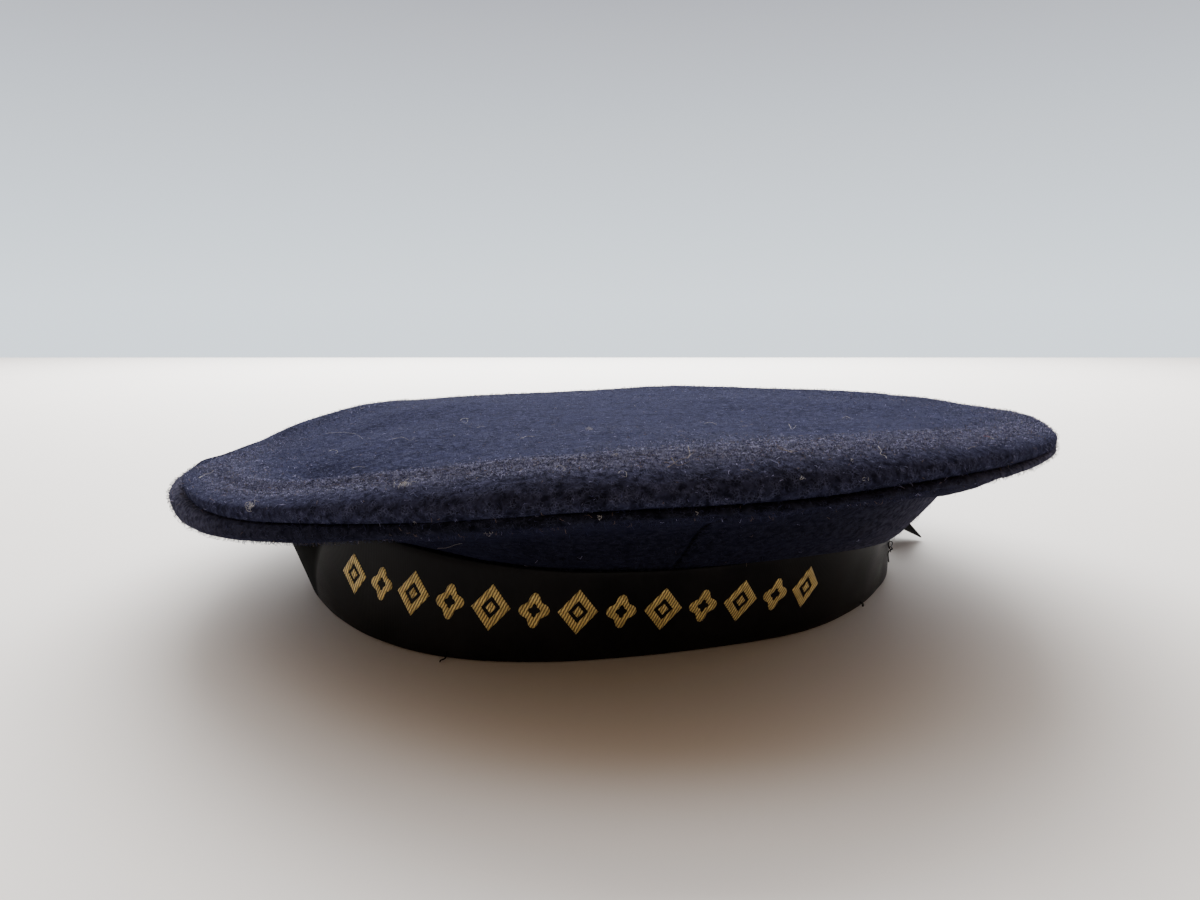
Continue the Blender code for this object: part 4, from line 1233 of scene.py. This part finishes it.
def on_cloth(tree, x, y):
    """The place on the wool seen at a picture's x and y, and the cloth's direction there."""
    aside = (x - PICTURE_MIDDLE[0]) / PICTURE_SCALE
    climb = (PICTURE_MIDDLE[1] - y) / PICTURE_SCALE
    c = math.cos(math.radians(CAMERA_PITCH))
    t = math.sin(math.radians(CAMERA_PITCH))
    way = Vector((aside, c + climb * t, -t + climb * c))
    hit, normal, _, _ = tree.ray_cast(Vector(CAMERA_PLACE), way.normalized())
    if hit is None:
        return None
    if normal.dot(way) > 0:
        normal = -normal
    return np.array(hit), np.array(normal)


def lint_finish():
    """Stray fibres: straw and tan, off-white, and one red, each a little uneven in tone."""
    material, tree = new_finish("stray_lint", {"Roughness": 0.7})
    shade = ranged(tree, clouds(tree, on_piece(tree), 2600.0, 2.0), 0.3, 0.7, 0.65, 1.1)
    colour = tone_ramp(tree, marked(tree, "tone"), LINT_STOPS)
    return feed(material, {"Base Color": times(tree, colour, shade)})


def hairs(tree):
    """Long hairs: smooth lines through their rows, laid on the cloth with the ends a little raised.
    Each comes with its upward direction, tone and radius."""
    bits = []
    rise = (0.22 + 0.35 * np.abs(np.linspace(-1.0, 1.0, HAIR_STEPS)) ** 3) * MM
    for tone, thick, rows in HAIR_ROWS:
        found = [on_cloth(tree, x, y) for x, y in zip(*read_paths(rows, HAIR_STEPS - 1))]
        if any(place is None for place in found):
            continue
        line = np.array([place for place, _ in found])
        square = unit(np.array([way for _, way in found]).mean(axis=0))
        line = line + square * rise[:, None]
        bits.append((line[None], square[None], np.array([tone]), np.array([thick * HAIR_FINE * MM])))
    return bits


def fluff(tree):
    """Fluff: tight random curls heaped round each place, wider along the cloth than they are high."""
    random = np.random.default_rng(61)
    bits = []
    along = np.linspace(0.0, 1.0, HAIR_STEPS)[None, :, None]
    for x, y, wide, high, count in FLUFF_ROWS:
        found = on_cloth(tree, x, y)
        if found is None:
            continue
        place, square = found
        size = np.array([wide, 0.6, high]) * MM
        middle = random.normal(0.0, 0.42, (count, 1, 3)) * size
        start = random.uniform(0.0, 2 * math.pi, (count, 1, 1))
        turn = start + along * random.uniform(0.8, 4.0, (count, 1, 1))
        across = unit(random.normal(0.0, 1.0, (count, 1, 3)))
        other = unit(np.cross(across, random.normal(0.0, 1.0, (count, 1, 3))))
        reach = size.mean() * random.uniform(0.2, 1.0, (count, 1, 1))
        curl = (across * np.cos(turn) + other * np.sin(turn)) * reach
        upward = np.broadcast_to(square, (count, 3))
        line = place + square * 0.35 * MM + middle + curl
        bits.append((line, upward, np.full(count, FLUFF_TONE), np.full(count, FLUFF_ROUND)))
    return bits


crown_faces = wool_faces()
lint_bits = hairs(crown_faces) + fluff(crown_faces)
lint_lines, lint_up, lint_tone, lint_round = (np.concatenate(values) for values in zip(*lint_bits))
lint_round = lint_round[:, None] * np.linspace(1.0, 0.7, HAIR_STEPS)[None, :]
lint = strands("stray_lint", lint_lines, lint_round, 4, lint_up, lint_tone)
settle(lint, lint_finish(), "crown_top")

# Floor, light and camera
# The cap stands on a pale sheet. A broad soft light hangs over and behind it, the front has little
# light of its own, and the camera stands close in front, a little above the cap.
FLOOR_HALF = 1.1
FLOOR_PALE = (0.80, 0.785, 0.765, 1.0)
FLOOR_GLOSS = {"Roughness": 0.75, "Specular IOR Level": 0.2}
LIGHT_WAY = (0.26, 0.86, 0.43)
LIGHT_LEAN = -0.06
LIGHT_EDGES = (0.48, 0.98)
LIGHT_COOL = (1.0, 1.0, 1.02, 1.0)
LIGHT_WARM = (0.096, 0.066, 0.043, 1.0)
LIGHT_STRENGTH = 3.65
BACKDROP_LOW = (1.38, 1.55, 1.70, 1.0)
BACKDROP_HIGH = (0.60, 0.61, 0.68, 1.0)
BACKDROP_RISE = 0.32
KEY_POWER = 56.0
KEY_SIZE = (1.3, 0.8)
KEY_COLOUR = (1.0, 0.985, 0.965)
KEY_PLACE = (-0.04, 1.0, 0.68)
KEY_AIM = (0.0, 0.0, 0.03)
CAMERA_LENS = 27.03
SENSOR = 36.0


def pale_floor():
    """A plain pale matte sheet with the faintest unevenness of tone."""
    material, tree = new_finish("pale_floor", FLOOR_GLOSS)
    uneven = clouds(tree, on_piece(tree), 14.0, 5.0)
    return feed(material, {"Base Color": blend(tree, uneven, toned(FLOOR_PALE, 0.97), FLOOR_PALE)})


floor_x, floor_y = np.meshgrid([-FLOOR_HALF, FLOOR_HALF], [-FLOOR_HALF, FLOOR_HALF], indexing="ij")
floor_grid = np.stack([floor_x, floor_y, np.zeros_like(floor_x)], axis=-1)
floor = lay_grid("floor", floor_grid, round_rows=False, round_columns=False)
floor.data.materials.append(pale_floor())

world = bpy.data.worlds.new("studio")
bpy.context.scene.world = world
world.use_nodes = True
air = world.node_tree
air.nodes.clear()
way = node(air, "ShaderNodeTexCoord").outputs["Generated"]
parts = node(air, "ShaderNodeSeparateXYZ", {0: way}).outputs
aside = maths(air, "ABSOLUTE", parts["X"])
folded = node(air, "ShaderNodeCombineXYZ", {"X": aside, "Y": parts["Y"], "Z": parts["Z"]}).outputs[0]
facing = node(air, "ShaderNodeVectorMath", {0: folded, 1: LIGHT_WAY}, operation="DOT_PRODUCT")
leaning = maths(air, "ADD", facing.outputs["Value"], maths(air, "MULTIPLY", parts["X"], LIGHT_LEAN))
glow = ranged(air, leaning, *LIGHT_EDGES, interpolation_type="SMOOTHSTEP")
light_sockets = {"Color": blend(air, glow, LIGHT_WARM, LIGHT_COOL), "Strength": LIGHT_STRENGTH}
light_seen = node(air, "ShaderNodeBackground", light_sockets).outputs[0]
rise = ranged(air, parts["Z"], 0.0, BACKDROP_RISE)
backdrop_sockets = {"Color": blend(air, rise, BACKDROP_LOW, BACKDROP_HIGH), "Strength": 1.0}
backdrop_seen = node(air, "ShaderNodeBackground", backdrop_sockets).outputs[0]
from_camera = node(air, "ShaderNodeLightPath").outputs["Is Camera Ray"]
seen = node(air, "ShaderNodeMixShader", {0: from_camera, 1: light_seen, 2: backdrop_seen}).outputs[0]
node(air, "ShaderNodeOutputWorld", {"Surface": seen})

key = bpy.data.lights.new("key", "AREA")
key.shape = "RECTANGLE"
key.size, key.size_y = KEY_SIZE
key.energy = KEY_POWER
key.color = KEY_COLOUR
key_lamp = bpy.data.objects.new("key", key)
key_lamp.location = KEY_PLACE
key_lamp.visible_camera = False
key_lamp.rotation_euler = (Vector(KEY_AIM) - key_lamp.location).to_track_quat("-Z", "Y").to_euler()
bpy.context.scene.collection.objects.link(key_lamp)

lens = bpy.data.cameras.new("camera")
lens.lens = CAMERA_LENS
lens.sensor_width = SENSOR
lens.clip_start = 0.01
camera = bpy.data.objects.new("camera", lens)
camera.location = CAMERA_PLACE
camera.rotation_euler = (math.radians(90.0 - CAMERA_PITCH), 0.0, 0.0)
bpy.context.scene.collection.objects.link(camera)
bpy.context.scene.camera = camera
